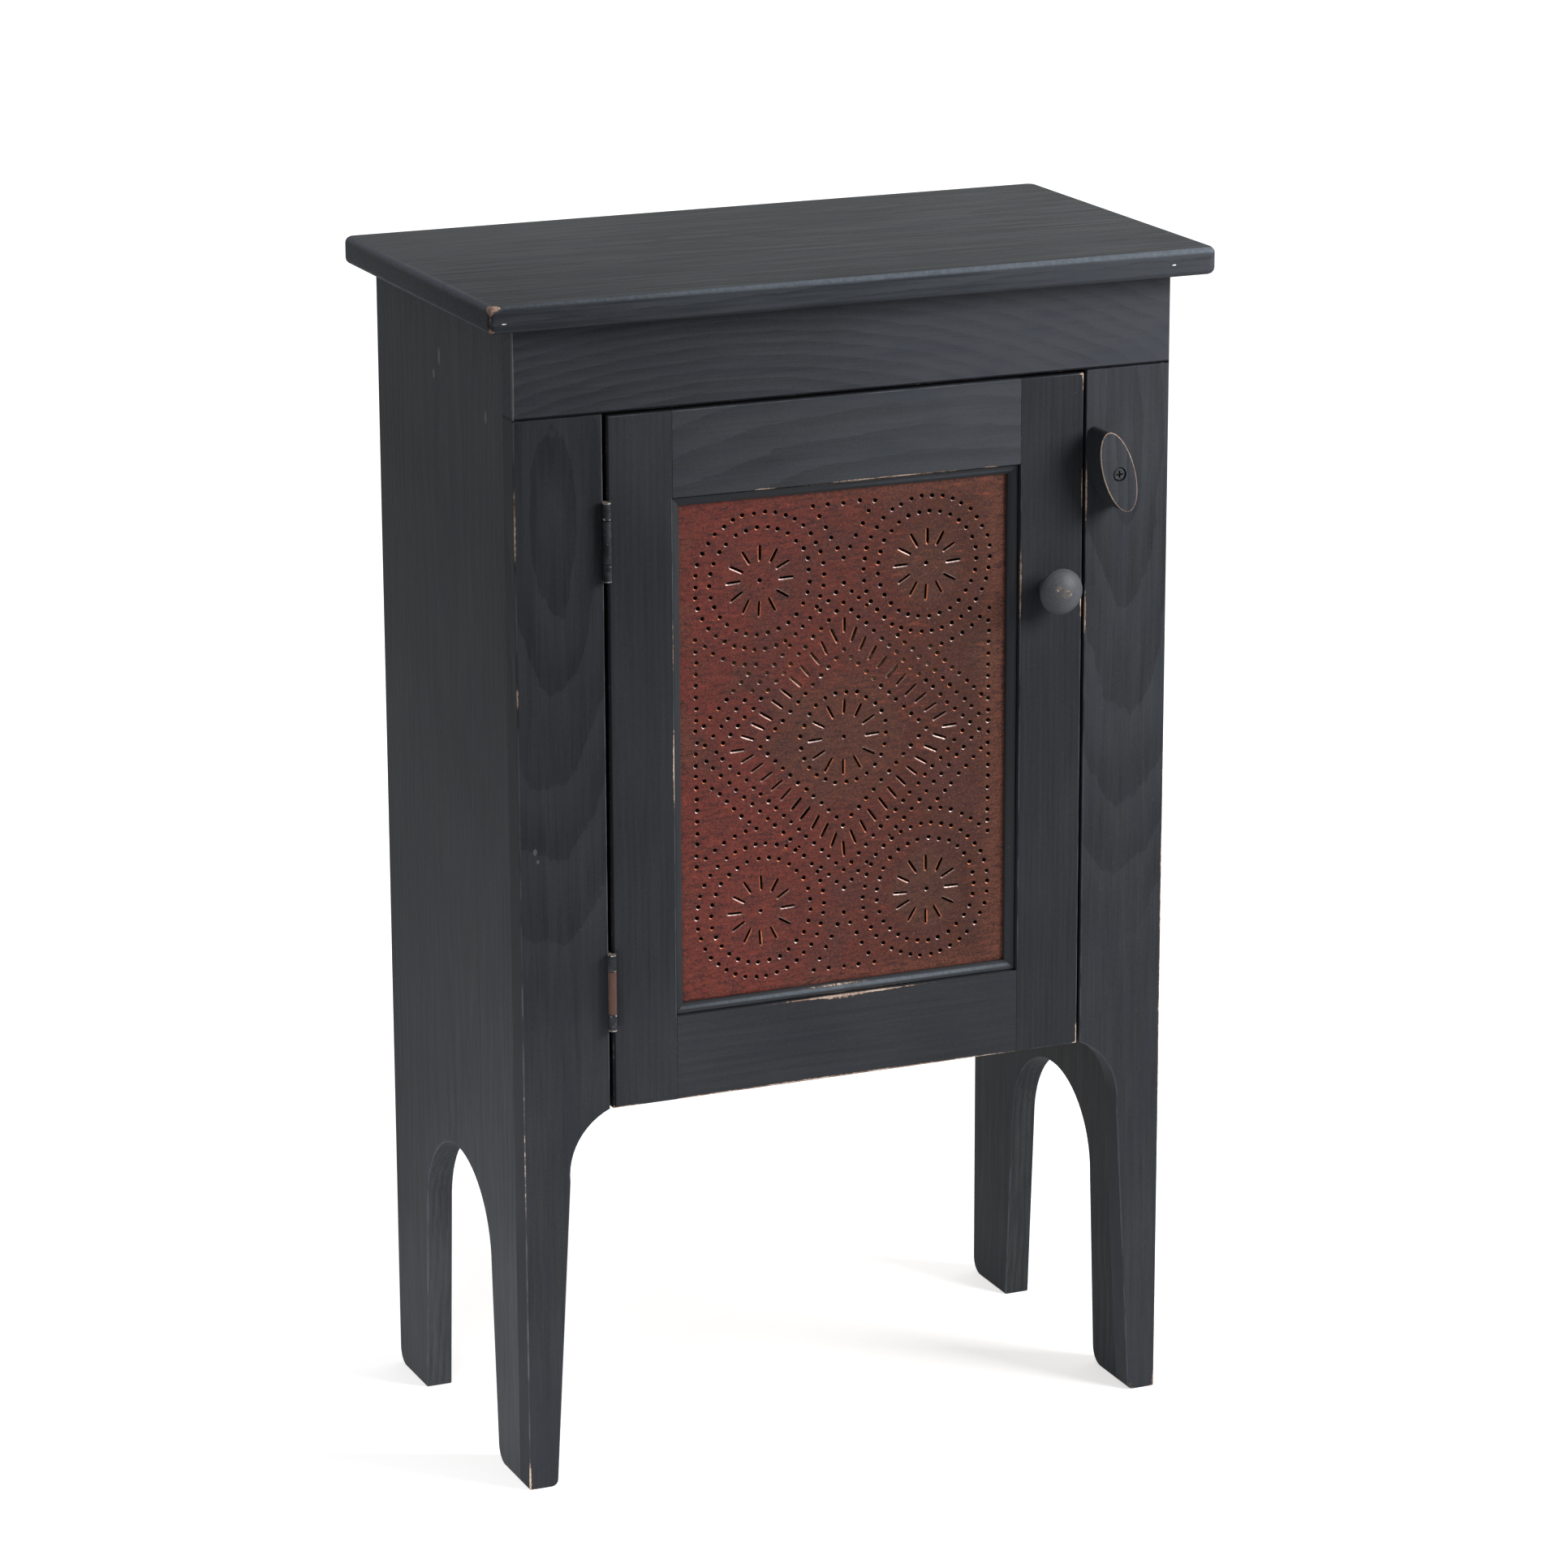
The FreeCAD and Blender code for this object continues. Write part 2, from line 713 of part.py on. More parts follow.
def dots():
    """Centres of the round punches."""
    rosette = [rosette_centre]
    rosette += ring(rosette_centre, rosette_inner_ring) + ring(rosette_centre, rosette_outer_ring)
    places = [ORIGIN] + ring(ORIGIN, centre_ring)
    places += quarters(rosette + side_border())
    places += diamond(outer_diamond)
    places += diamond(outer_diamond - diamond_gap)
    places += diamond(outer_diamond - diamond_inner_gap)
    return places + quarters(corner_gusset() + crest())


def radial_slots(centre, radius):
    """Place and lean of each slot of a rosette."""
    leans = [360 * i / slots_in_rosette for i in range(slots_in_rosette)]
    return [(around(centre, radius, lean), lean) for lean in leans]


def diamond_slots(half):
    """Place and lean of the slots round a diamond: level at the sides, upright at top and bottom."""
    found = [(X * half, 0), (X * -half, 0), (Z * half, 90), (Z * -half, 90)]
    side = along(X * half, Z * half, slot_pitch)
    for i, place in enumerate(side[1:], 1):
        lean = lean_near_side + (lean_near_top - lean_near_side) * i / len(side)
        for sx in (1, -1):
            for sz in (1, -1):
                found.append((V(place.x * sx, 0, place.z * sz), lean * sx * sz))
    return found


def slots():
    found = radial_slots(ORIGIN, centre_slot_radius)
    for centre in quarters([rosette_centre]):
        found += radial_slots(centre, rosette_slot_radius)
    return found + diamond_slots(outer_diamond - diamond_slot_gap)


def dot_outline(place):
    return Part.Wire(Part.makeCircle(dot_radius, place, Y))


def slot_outline(place, lean):
    half, side = slot_length / 2, slot_width / 2
    corners = [V(-half, 0, -side), V(half, 0, -side), V(half, 0, side), V(-half, 0, side)]
    outline = Part.makePolygon(corners + corners[:1])
    outline.rotate(ORIGIN, Y, -lean)
    outline.translate(place)
    return outline


def slot_footprint(place, lean):
    """Places along a slot that stand for it when punches are kept apart."""
    angle = math.radians(lean)
    run = V(math.cos(angle), 0, math.sin(angle)) * slot_length
    return [place + run * share for share in (-0.5, -0.25, 0, 0.25, 0.5)]


def punch_outlines():
    """Outlines of all the punches, without those that would land on one before them."""
    punches = [(slot_footprint(*slot), slot_outline(*slot)) for slot in slots()]
    punches += [([place], dot_outline(place)) for place in dots()]
    taken, outlines = [], []
    for footprint, outline in punches:
        if all(a.distanceToPoint(b) > punches_apart for a in footprint for b in taken):
            taken += footprint
            outlines.append(outline)
    return outlines


def tin_panel():
    w, h = tin_half_width, tin_half_height
    corners = [V(-w, 0, -h), V(w, 0, -h), V(w, 0, h), V(-w, 0, h)]
    edge = Part.makePolygon(corners + corners[:1])
    outlines = [edge] + punch_outlines()
    sheet = Part.Face(outlines, "Part::FaceMakerBullseye").extrude(Y * tin_thickness)
    sheet.translate(V(0, tin_depth, tin_centre))
    return sheet


save("tin_panel", tin_panel())


# ---------------------------------------------------------------- knob
def door_knob():
    """Turned mushroom knob, drawn about the line through its screw."""
    rim = -knob_rim_depth
    dome_edge = V(knob_radius - knob_rim_ease, rim - knob_rim_height, 0)
    dome_top = V(0, -knob_reach, 0)
    dome_height = dome_edge.y - dome_top.y
    dome_radius = (dome_edge.x**2 + dome_height**2) / (2 * dome_height)
    half_angle = math.asin(dome_edge.x / dome_radius) / 2
    sagitta = dome_radius * (1 - math.cos(half_angle))
    on_dome = V(dome_radius * math.sin(half_angle), dome_top.y + sagitta, 0)
    profile = [
        ORIGIN,
        V(knob_foot_radius, 0, 0),
        V(knob_neck_radius, -knob_neck_depth, 0),
        V(knob_radius - knob_shoulder_ease, rim + knob_shoulder_drop, 0),
        V(knob_radius, rim, 0),
        V(knob_radius, rim - knob_rim_height / 2, 0),
        dome_edge,
    ]
    edges = Part.makePolygon(profile).Edges
    edges += [arc_through(dome_edge, on_dome, dome_top), line(dome_top, ORIGIN)]
    turned = Part.Face(Part.Wire(edges)).revolve(ORIGIN, Y, 360)
    turned.translate(V(knob_x, 0, knob_z))
    depth = screw_bite + screw_clearance
    return turned.cut(rod(screw_radius + screw_clearance, V(knob_x, -depth, knob_z), Y, depth))


save("door_knob", door_knob())
save("knob_screw", pan_screw(V(knob_x, board, knob_z), -Y, board + screw_bite))
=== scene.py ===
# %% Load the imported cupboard
import bmesh
import bpy
import math
import random
from mathutils import Matrix, Vector


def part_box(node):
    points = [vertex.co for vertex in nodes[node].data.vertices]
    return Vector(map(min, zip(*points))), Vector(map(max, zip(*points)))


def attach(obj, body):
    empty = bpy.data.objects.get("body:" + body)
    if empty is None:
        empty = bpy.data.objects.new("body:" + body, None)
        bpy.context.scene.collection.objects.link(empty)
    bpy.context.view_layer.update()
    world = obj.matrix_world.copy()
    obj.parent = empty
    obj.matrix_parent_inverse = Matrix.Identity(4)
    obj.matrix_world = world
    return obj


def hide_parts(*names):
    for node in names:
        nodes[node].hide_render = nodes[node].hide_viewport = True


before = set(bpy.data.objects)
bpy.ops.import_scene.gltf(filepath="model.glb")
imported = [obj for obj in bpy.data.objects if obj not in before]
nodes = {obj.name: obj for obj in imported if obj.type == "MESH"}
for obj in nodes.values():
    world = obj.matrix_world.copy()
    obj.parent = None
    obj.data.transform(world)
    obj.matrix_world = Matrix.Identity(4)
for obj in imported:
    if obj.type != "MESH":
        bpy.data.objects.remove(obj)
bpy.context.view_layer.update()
MM = 0.001
print("nodes in the frame:", len(nodes))

# %% [markdown]
# A pie safe is a small pine cupboard whose door holds a punched sheet of tin, so that baked
# goods keep their air and flies stay out. The frame already has every board at its real size
# and place. What is left is what makes it look like one: eased and rubbed arrises, brushed
# paint over pine, struck metal, and a light to see them in.
#
# The picture is set first. The camera stands to the left of the cupboard and above its
# top, and looks down on it a little. It is given as a place, three turns in radians and a
# lens. A turned matrix does the same as setting an empty to track the object, and is exact.

# %% Camera
camera_place = Vector((-1.4993, -3.4914, 1.5165))
camera_turn = -0.406446
camera_dip = 0.274038
camera_roll = -0.003382
camera_lens = 128.69
quarter_turn = math.radians(90)

camera_data = bpy.data.cameras.new("camera")
camera_data.lens = camera_lens
camera_data.sensor_width = 36
camera_data.clip_start = 0.1
camera_data.clip_end = 100
camera = bpy.data.objects.new("camera", camera_data)
bpy.context.collection.objects.link(camera)
camera.matrix_world = (
    Matrix.Translation(camera_place)
    @ Matrix.Rotation(camera_turn, 4, "Z")
    @ Matrix.Rotation(quarter_turn - camera_dip, 4, "X")
    @ Matrix.Rotation(camera_roll, 4, "Z")
)
bpy.context.scene.camera = camera
bpy.context.scene.view_settings.view_transform = "Standard"
print("camera is", round((camera_place - Vector((0, 0, 0.4))).length, 2), "m away")

# %% [markdown]
# A material is a network of nodes. Wiring each by hand hides the sums that they stand for, so
# one small class holds a node's output and lets ordinary arithmetic add the Math nodes. Its
# method `node` adds any other kind of node: settings go in first, then values and links.


# %% Shader arithmetic
class Field:
    """A value that changes over a surface: one output socket of a node."""

    def __init__(self, tree, socket=None):
        self.tree = tree
        self.socket = socket

    def node(self, kind, settings=None, inputs=None, output=0):
        made = self.tree.nodes.new("ShaderNode" + kind)
        for name, setting in (settings or {}).items():
            setattr(made, name, setting)
        for name, value in (inputs or {}).items():
            self.fill(made.inputs[name], value)
        return Field(self.tree, made.outputs[output])

    def fill(self, socket, value):
        if isinstance(value, Field):
            self.tree.links.new(value.socket, socket)
        else:
            socket.default_value = value

    def maths(self, operation, *values):
        return self.node("Math", {"operation": operation}, dict(enumerate(values)))

    def __add__(self, other):
        return self.maths("ADD", self, other)

    __radd__ = __add__

    def __sub__(self, other):
        return self.maths("SUBTRACT", self, other)

    def __rsub__(self, other):
        return self.maths("SUBTRACT", other, self)

    def __mul__(self, other):
        return self.maths("MULTIPLY", self, other)

    __rmul__ = __mul__

    def __truediv__(self, other):
        return self.maths("DIVIDE", self, other)

    def __pow__(self, other):
        return self.maths("POWER", self, other)

    def least(self, other):
        return self.maths("MINIMUM", self, other)

    def most(self, other):
        return self.maths("MAXIMUM", self, other)

    def absolute(self):
        return self.maths("ABSOLUTE", self)

    def rise(self, low, high):
        """0 up to low, 1 from high, and a smooth rise between them."""
        inputs = {"Value": self, "From Min": low, "From Max": high}
        return self.node("MapRange", {"interpolation_type": "SMOOTHSTEP"}, inputs)

    def stretched(self, x, y, z):
        return self.node("VectorMath", {"operation": "MULTIPLY"}, {0: self, 1: (x, y, z)})

    def noise(self, scale, detail=3.0, roughness=0.5, seed=0.0):
        """Cloudy noise of about the given number of lumps to the metre, 0 to 1."""
        inputs = {"Vector": self, "W": seed, "Scale": scale, "Detail": detail, "Roughness": roughness}
        return self.node("TexNoise", {"noise_dimensions": "4D"}, inputs)

    def tint(self, low_colour, high_colour):
        """Mixes two colours, or colour fields, by this value."""
        factor, first_colour, second_colour, mixed = 0, 6, 7, 2
        inputs = {factor: self}
        for socket, colour in ((first_colour, low_colour), (second_colour, high_colour)):
            inputs[socket] = colour if isinstance(colour, Field) else (*colour, 1)
        return self.node("Mix", {"data_type": "RGBA"}, inputs, mixed)

    def parts(self):
        """The x, y and z of a place, by name."""
        made = self.node("SeparateXYZ", inputs={0: self}).socket.node
        return {name: Field(self.tree, made.outputs[name.upper()]) for name in "xyz"}

    def length(self):
        return self.node("VectorMath", {"operation": "LENGTH"}, {0: self}, output="Value")


print("shader arithmetic ready")

# %% [markdown]
# A finish on a real piece is a surface that varies: its colour, how rough it is and how it
# catches the light. Blender's Principled shader takes those as sockets. A small class makes
# the material, offers the place on the piece as the first field to compute with, and plugs
# the results in. What is the same all over is set on the shader's own sockets.


# %% Finishes
def near(place, centre, reach):
    """1 at a centre, falling to 0 at its reach along each axis; both in millimetres."""
    centre = [value * MM for value in centre]
    offset = place.node("VectorMath", {"operation": "SUBTRACT"}, {0: place, 1: centre})
    return offset.stretched(*[1 / (value * MM) for value in reach]).length().rise(1.0, 0.35)


class Finish:
    """A material with its shader and the place on the surface that its patterns read."""

    def __init__(self, name, roughness, specular, metallic=0.0):
        self.material = bpy.data.materials.new(name)
        self.material.use_nodes = True
        self.tree = self.material.node_tree
        self.shader = self.tree.nodes["Principled BSDF"]
        self.shader.inputs["Roughness"].default_value = roughness
        self.shader.inputs["Specular IOR Level"].default_value = specular
        self.shader.inputs["Metallic"].default_value = metallic
        self.start = Field(self.tree)
        self.place = self.start.node("TexCoord", output="Object")

    def attribute(self, name):
        return self.start.node("Attribute", {"attribute_name": name}, output="Fac")

    def spots(self, places):
        """A mask of spots, each a centre and a reach in mm, and a strength if it isn't 1."""
        mask = 0.0
        for centre, reach, *strength in places:
            spot = near(self.place, centre, reach) * (strength[0] if strength else 1.0)
            mask = spot.most(mask)
        return mask

    def feed(self, **fields):
        for name, field in fields.items():
            self.start.fill(self.shader.inputs[name.replace("_", " ")], field)

    def bump(self, height, depth):
        """Raises the surface by up to depth metres where height is 1."""
        inputs = {"Height": height, "Distance": depth, "Strength": 1.0}
        self.feed(Normal=self.start.node("Bump", inputs=inputs))


print("finishes ready")

# %% [markdown]
# The room is a pale floor without a wall, lit by three soft lamps: one near the cupboard on
# the right in front, so that its light falls off across the door, one overhead and a weak low
# one on the left. Rays from the camera and from glossy reflections see plain white all round,
# so the light on the object isn't what makes the background white. The floor adds white of its
# own to those rays too, less round the legs, where it still shows the cupboard's shadow.


# %% Room and light
def area_lamp(name, place, target, size, power):
    data = bpy.data.lights.new(name, "AREA")
    data.shape = "SQUARE"
    data.size = size
    data.energy = power
    lamp = bpy.data.objects.new(name, data)
    bpy.context.collection.objects.link(lamp)
    lamp.location = place
    lamp.rotation_euler = (Vector(target) - Vector(place)).to_track_quat("-Z", "Y").to_euler()
    lamp.visible_camera = False
    return lamp


def seen_directly(field):
    """1 for rays from the camera, from a glossy surface and through glass."""
    kinds = ("Is Camera Ray", "Is Glossy Ray", "Is Transmission Ray")
    camera_ray, glossy_ray, clear_ray = [field.node("LightPath", output=kind) for kind in kinds]
    return camera_ray.most(glossy_ray).most(clear_ray)


area_lamp("key", (1.15, -1.0, 1.25), target=(0.1, 0, 0.5), size=0.8, power=43)
area_lamp("overhead", (0.2, 0.4, 2.6), target=(0, 0, 0.45), size=1.8, power=24)
fill = area_lamp("fill", (-0.75, -0.65, 0.07), target=(-0.23, -0.05, 0), size=0.35, power=2.2)
fill.data.spread = math.radians(75)

world = bpy.data.worlds.new("room")
bpy.context.scene.world = world
world.use_nodes = True
air = Field(world.node_tree)
backdrop = world.node_tree.nodes["Background"]
ROOM_GREY = (0.38, 0.38, 0.385)
BLACK = (0, 0, 0)
WHITE = (1, 1, 1)
air.fill(backdrop.inputs["Color"], seen_directly(air).tint(ROOM_GREY, WHITE))

bpy.ops.object.select_all(action="DESELECT")
bpy.ops.mesh.primitive_plane_add(size=24, location=(0, 0, 0))
floor = bpy.context.object
floor.name = "floor"
ground = Finish("pale_floor", roughness=0.9, specular=0.0)
near_glow = 0.6
glow = seen_directly(ground.start) * (ground.place.length().rise(0.5, 1.8) * (1 - near_glow) + near_glow)
ground.feed(Base_Color=(0.62, 0.62, 0.62, 1), Emission_Color=glow.tint(BLACK, WHITE))
ground.shader.inputs["Emission Strength"].default_value = 1
floor.data.materials.append(ground.material)
print("lamps, backdrop and floor made")

# %% [markdown]
# Pine shows its yearly rings wherever it is sawn. A board is a straight cut through a tree, so
# the rings are modelled in space, as tubes round the pith, and each board meets them where it
# was cut: leaning tubes give the nested V shapes of a flat-sawn board, and a pith beyond the
# board's edge gives long level bows. The paint follows every ring and fibre, so both finishes
# read the same grain.


# %% Grain of the wood
class Grain:
    """How a board was sawn: its axes, a point of the pith in mm, the pith's lean, the rings."""

    def __init__(self, along, across, pith, lean=0.0, ring=6.0, wander=1.0, seed=1.0):
        self.along = along
        self.across = across
        self.through = next(axis for axis in "xyz" if axis not in (along, across))
        self.pith = {axis: value * MM for axis, value in zip("xyz", pith)}
        self.lean = lean
        self.ring = ring * MM
        self.wander = wander * MM
        self.seed = seed

    def along_stretch(self, factor):
        """Scales that draw a pattern out along the grain."""
        return [factor if axis == self.along else 1.0 for axis in "xyz"]

    def rings(self, place):
        """Rises from 0 to 1 over each yearly ring, outwards from the pith."""
        named = place.parts()
        slow = place.stretched(*self.along_stretch(0.4))
        drift = (slow.noise(14, 2.0, 0.5, self.seed) - 0.5) * self.wander * 20
        waver = (slow.noise(55, 4.0, 0.6, self.seed + 3) - 0.5) * self.wander * 7
        run = named[self.along] - self.pith[self.along]
        inwards = named[self.through] - self.pith[self.through] - run * self.lean + drift
        sideways = named[self.across] - self.pith[self.across]
        radius = (sideways * sideways + inwards * inwards) ** 0.5
        years = (radius + waver) / self.ring
        return years.maths("FRACT", years)

    def fibres(self, place, fine=1400):
        """Fine streaks along the grain."""
        return place.stretched(*self.along_stretch(0.025)).noise(fine, 3.0, 0.6, self.seed + 7)

    def streaks(self, place):
        """Broader soft streaks along the grain."""
        return place.stretched(*self.along_stretch(0.04)).noise(210, 3.0, 0.55, self.seed + 11)


print("grain ready")

# %% [markdown]
# Inside, the pine is bare. Early wood grows fast in spring and is pale, late wood is harder
# and darker, and it ends each ring with a sharp line. Fine fibres and soft streaks run along
# the board between the rings. Where the air has reached it, the wood has turned browner.


# %% Planed pine
PINE_EARLY = (0.52, 0.35, 0.19)
PINE_LATE = (0.33, 0.18, 0.08)
PINE_AGED = (0.30, 0.19, 0.10)


def pine_tone(grain, place):
    """Colour of planed pine: pale early wood and a darker line of late wood in each ring."""
    ring = grain.rings(place)
    late = ring.rise(0.35, 0.95) * ring.rise(1.0, 0.96)
    tone = late * 0.75 + (grain.fibres(place) - 0.5) * 0.5 + (grain.streaks(place) - 0.5) * 0.8
    return tone.tint(PINE_EARLY, PINE_LATE)


def bare_pine(name, grain):
    """Planed pine without paint, darkened with age."""
    finish = Finish("pine_" + name, roughness=0.6, specular=0.3)
    fibres = grain.fibres(finish.place)
    colour = pine_tone(grain, finish.place)
    cloud = finish.place.noise(14, 2.0, 0.5, grain.seed + 5)
    colour = (cloud.rise(0.35, 0.75) * 0.35).tint(colour, PINE_AGED)
    finish.feed(Base_Color=colour, Roughness=0.62 + (fibres - 0.5) * 0.2)
    finish.bump(fibres, 0.15 * MM)
    return finish.material


print("bare pine ready")

# %% [markdown]
# The outside is painted charcoal black with a brush, then rubbed back with sandpaper where
# hands would wear it: along a few stretches of the arrises, at corners and on the knob. The
# paint shows the grain, darker towards the hard outer edge of each ring. Rubbing is worked out
# from how near a place is to an arris, from two ragged noises, and from named spots where it
# went further. Between bare wood and sound paint lies a thin brownish band. Light and shade
# are painted into the colour too: spots of painted light where the lamps light a board more,
# painted highlights along the arrises, and painted shadow as a dark line in the joints.


# %% Paint, rubbed through
CHARCOAL_DARK = (0.0155, 0.0165, 0.0186)
CHARCOAL_LIGHT = (0.0360, 0.0386, 0.0436)
CHARCOAL_BLUE = (0.0215, 0.0252, 0.0325)
EDGE_HIGHLIGHT_BLUE = (0.085, 0.098, 0.116)
SPECK_GREY = (0.11, 0.12, 0.135)
THIN_PAINT = (0.085, 0.062, 0.050)
RUBBED_WOOD = (0.40, 0.32, 0.265)
RUSTY_WOOD = (0.21, 0.135, 0.105)
PALE_FILLER = (0.70, 0.69, 0.67)
JOINT_SHADOW_BLACK = (0.003, 0.003, 0.004)


def from_arris(place, low, high):
    """How far a place on the outside of a box is from the box's nearest edge."""
    gaps = []
    for value, start, end in zip(place.parts().values(), low, high):
        gaps.append((value - start).absolute().least((value - end).absolute()))
    first, second, third = gaps
    return first.least(second).most(first.most(second).least(third))


def toned(colour, tone, cool):
    """A colour made lighter or darker, with its blue raised or lowered once more."""
    red, green, blue = colour
    return red * tone, green * tone, blue * tone * cool


def painted(
    name, grain, box=None, rubs=(), nicks=(), nick_strength=1.0, bare_where=None, painted_light=(), painted_highlight=(),
    joint_shadow=None, blue_below=None, plain_below=None, tone=1.0, cool=1.0,
    figure=0.42, grainy=1.0, fine=900, edge=1.8, gloss=0.022,
):
    """Charcoal paint over a board with that grain, rubbed through near the given spots.

    tone lightens or darkens the whole board, cool makes it bluer, and so does blue_below,
    but only under a height in mm. The rings fade out under plain_below, also in mm.
    painted_light names spots made brighter as painted light, where the lamps light a board
    more, painted_highlight spots of painted highlight, and nicks chips of the pale filler.
    joint_shadow is a joint's axis, its place on that axis, the same on both sides of the
    middle, and half the width of its dark line, a painted shadow in the joint. figure is the
    strength of the rings, grainy that of the fibres, and fine is the number of fibres to the
    metre. edge is how far from an arris rubbing reaches, in mm, and gloss is the shader's
    specular level. bare_where is a function that gives 1 where there is no paint.
    """
    finish = Finish("paint_" + name, roughness=0.55, specular=gloss)
    place = finish.place
    ring = grain.rings(place)
    late = ring.rise(0.05, 0.9) * ring.rise(1.0, 0.975)
    if plain_below is not None:
        flat_tone = 0.3
        above = place.parts()["z"].rise((plain_below - 130) * MM, plain_below * MM)
        late = (late - flat_tone) * above + flat_tone
    fibres = grain.fibres(place, fine)
    streaks = grain.streaks(place)
    cloud = place.noise(9, 2.0, 0.5, grain.seed + 21)
    level = 0.5 + figure * 0.4 - late * figure + (cloud - 0.5) * 0.7
    level = level + ((fibres - 0.5) * 0.8 + (streaks - 0.5) * 0.7) * grainy
    speckle = place.noise(760, 3.0, 0.75, grain.seed + 23)
    level = level + (speckle - 0.5) * 0.7
    # Painted light: the named spots are made brighter where the lamps light a board more.
    if painted_light:
        level = level + finish.spots(painted_light)
    colour = level.tint(toned(CHARCOAL_DARK, tone, cool), toned(CHARCOAL_LIGHT, tone, cool))
    patchy = place.noise(45, 2.0, 0.5, grain.seed + 33)
    hue = place.stretched(*grain.along_stretch(0.25)).noise(50, 3.0, 0.6, grain.seed + 35)
    colour = (hue.rise(0.44, 0.66) * 0.3).tint(colour, toned(CHARCOAL_BLUE, tone, cool))
    if blue_below is not None:
        low = place.parts()["z"].rise(blue_below * MM, (blue_below - 1) * MM)
        colour = (low * 0.35).tint(colour, toned(CHARCOAL_BLUE, tone, 1.05))
    specks = place.noise(520, 2.0, 0.6, grain.seed + 27)
    colour = (specks.rise(0.71, 0.78) * 0.3).tint(colour, SPECK_GREY)

    arris = finish.attribute("arris")
    beside = arris if box is None else from_arris(place, *box).rise(edge * MM, 0.2 * MM)
    ragged = place.noise(330, 4.0, 0.65, grain.seed + 31)
    spot = finish.spots(rubs)
    worn = beside * 0.5 + spot * 0.4 + (ragged - 0.5) * 0.9 + (patchy - 0.5) * 0.5
    thin = worn.rise(0.50, 0.72)
    bare = worn.rise(0.71, 0.77)
    wood = (patchy + (speckle - 0.5) * 0.8).rise(0.38, 0.64).tint(RUSTY_WOOD, RUBBED_WOOD)
    # Painted highlight: the middle line of an eased arris, and the named highlight spots below, take a
    # pale blue, as arrises lit by the lamps look.
    colour = (arris * (0.12 + patchy.rise(0.38, 0.62) * 0.45)).tint(colour, EDGE_HIGHLIGHT_BLUE)
    if painted_highlight:
        highlight_mask = finish.spots(painted_highlight) * (0.75 + (ragged - 0.5) * 1.4)
        colour = highlight_mask.tint(colour, EDGE_HIGHLIGHT_BLUE)
    # Painted shadow: a dark line where two boards butt, and on the hinge stile a wider dark band for the
    # shaded gap beside the frame.
    if joint_shadow:
        axis, line, half = joint_shadow
        gap = (place.parts()[axis].absolute() - line * MM).absolute()
        colour = (gap.rise(half * MM, half * 0.5 * MM) * 0.92).tint(colour, JOINT_SHADOW_BLACK)
    colour = (thin * 0.6).tint(colour, THIN_PAINT)
    colour = bare.tint(colour, wood)

    nick = (finish.spots(nicks) + (ragged - 0.5) * 0.9).rise(0.45, 0.62)
    colour = (nick * nick_strength).tint(colour, PALE_FILLER)
    rough = 0.58 - late * 0.06 + (streaks - 0.5) * 0.16 + bare * 0.15
    if bare_where is not None:
        inside = bare_where(place)
        colour = inside.tint(colour, pine_tone(grain, place))
        rough = rough + inside * 0.08
    finish.feed(Base_Color=colour, Roughness=rough)
    relief = (fibres - 0.5) * 0.5 + (speckle - 0.5) * 0.5 - late * 0.25 + cloud * 0.3 - bare * 0.8
    finish.bump(relief, 0.12 * MM)
    return finish.material


print("paint ready")

# %% [markdown]
# Each visible board is copied from the frame, and its fastener holes are filled as with putty.
# The CAD's mesh is loose triangles, so a copy is merged first and its coplanar faces are
# joined, which leaves only the edges that the real board has. Everything that follows is done
# in edit mode, as by hand.


# %% Copies of the boards
def only(piece):
    bpy.ops.object.select_all(action="DESELECT")
    piece.select_set(True)
    bpy.context.view_layer.objects.active = piece


def edit(action="SELECT"):
    """Goes into edit mode with everything selected, or with nothing."""
    bpy.ops.object.mode_set(mode="EDIT")
    bpy.ops.mesh.select_all(action=action)


def leave_edit():
    bpy.ops.object.mode_set(mode="OBJECT")


def select_nothing(kind):
    edit("DESELECT")
    bpy.ops.mesh.select_mode(type=kind)
    leave_edit()


flat_angle = math.radians(0.5)


def copy_of(node, name):
    """A copy of a CAD part's mesh as few flat faces, ready to be shaped."""
    piece = bpy.data.objects.new(name, nodes[node].data.copy())
    bpy.context.collection.objects.link(piece)
    only(piece)
    edit()
    bpy.ops.mesh.remove_doubles(threshold=0.01 * MM)
    bpy.ops.mesh.customdata_custom_splitnormals_clear()
    bpy.ops.mesh.dissolve_limited(angle_limit=flat_angle)
    leave_edit()
    return piece


def fill_fastener_holes(piece, largest=60):
    """Removes faces under that many square mm, those of screw, nail and dowel holes, and closes up."""
    select_nothing("FACE")
    for face in piece.data.polygons:
        face.select = face.area < largest * MM * MM
    bpy.ops.object.mode_set(mode="EDIT")
    bpy.ops.mesh.delete(type="FACE")
    bpy.ops.mesh.select_all(action="SELECT")
    bpy.ops.mesh.fill_holes(sides=0)
    bpy.ops.mesh.select_all(action="SELECT")
    bpy.ops.mesh.dissolve_limited(angle_limit=flat_angle)
    leave_edit()


def cut_across(piece, height):
    """Adds an edge loop round a board at a height, so that a bevel can start or stop there."""
    only(piece)
    edit()
    bpy.ops.mesh.bisect(plane_co=(0, 0, height), plane_no=(0, 0, 1))
    leave_edit()


print("helpers for copying ready")

# %% [markdown]
# Boards come off the plane with sharp arrises, and the maker breaks them with a block, so the
# arrises that a hand can reach are bevelled. Joints where two boards are flush stay sharp,
# because they were glued first and sanded together. The bevel's middle line is kept as an
# attribute, `arris`, which the paint reads. A finished piece is smoothed over its shallow
# angles, gets its finish and takes the place of the CAD nodes that it dresses.


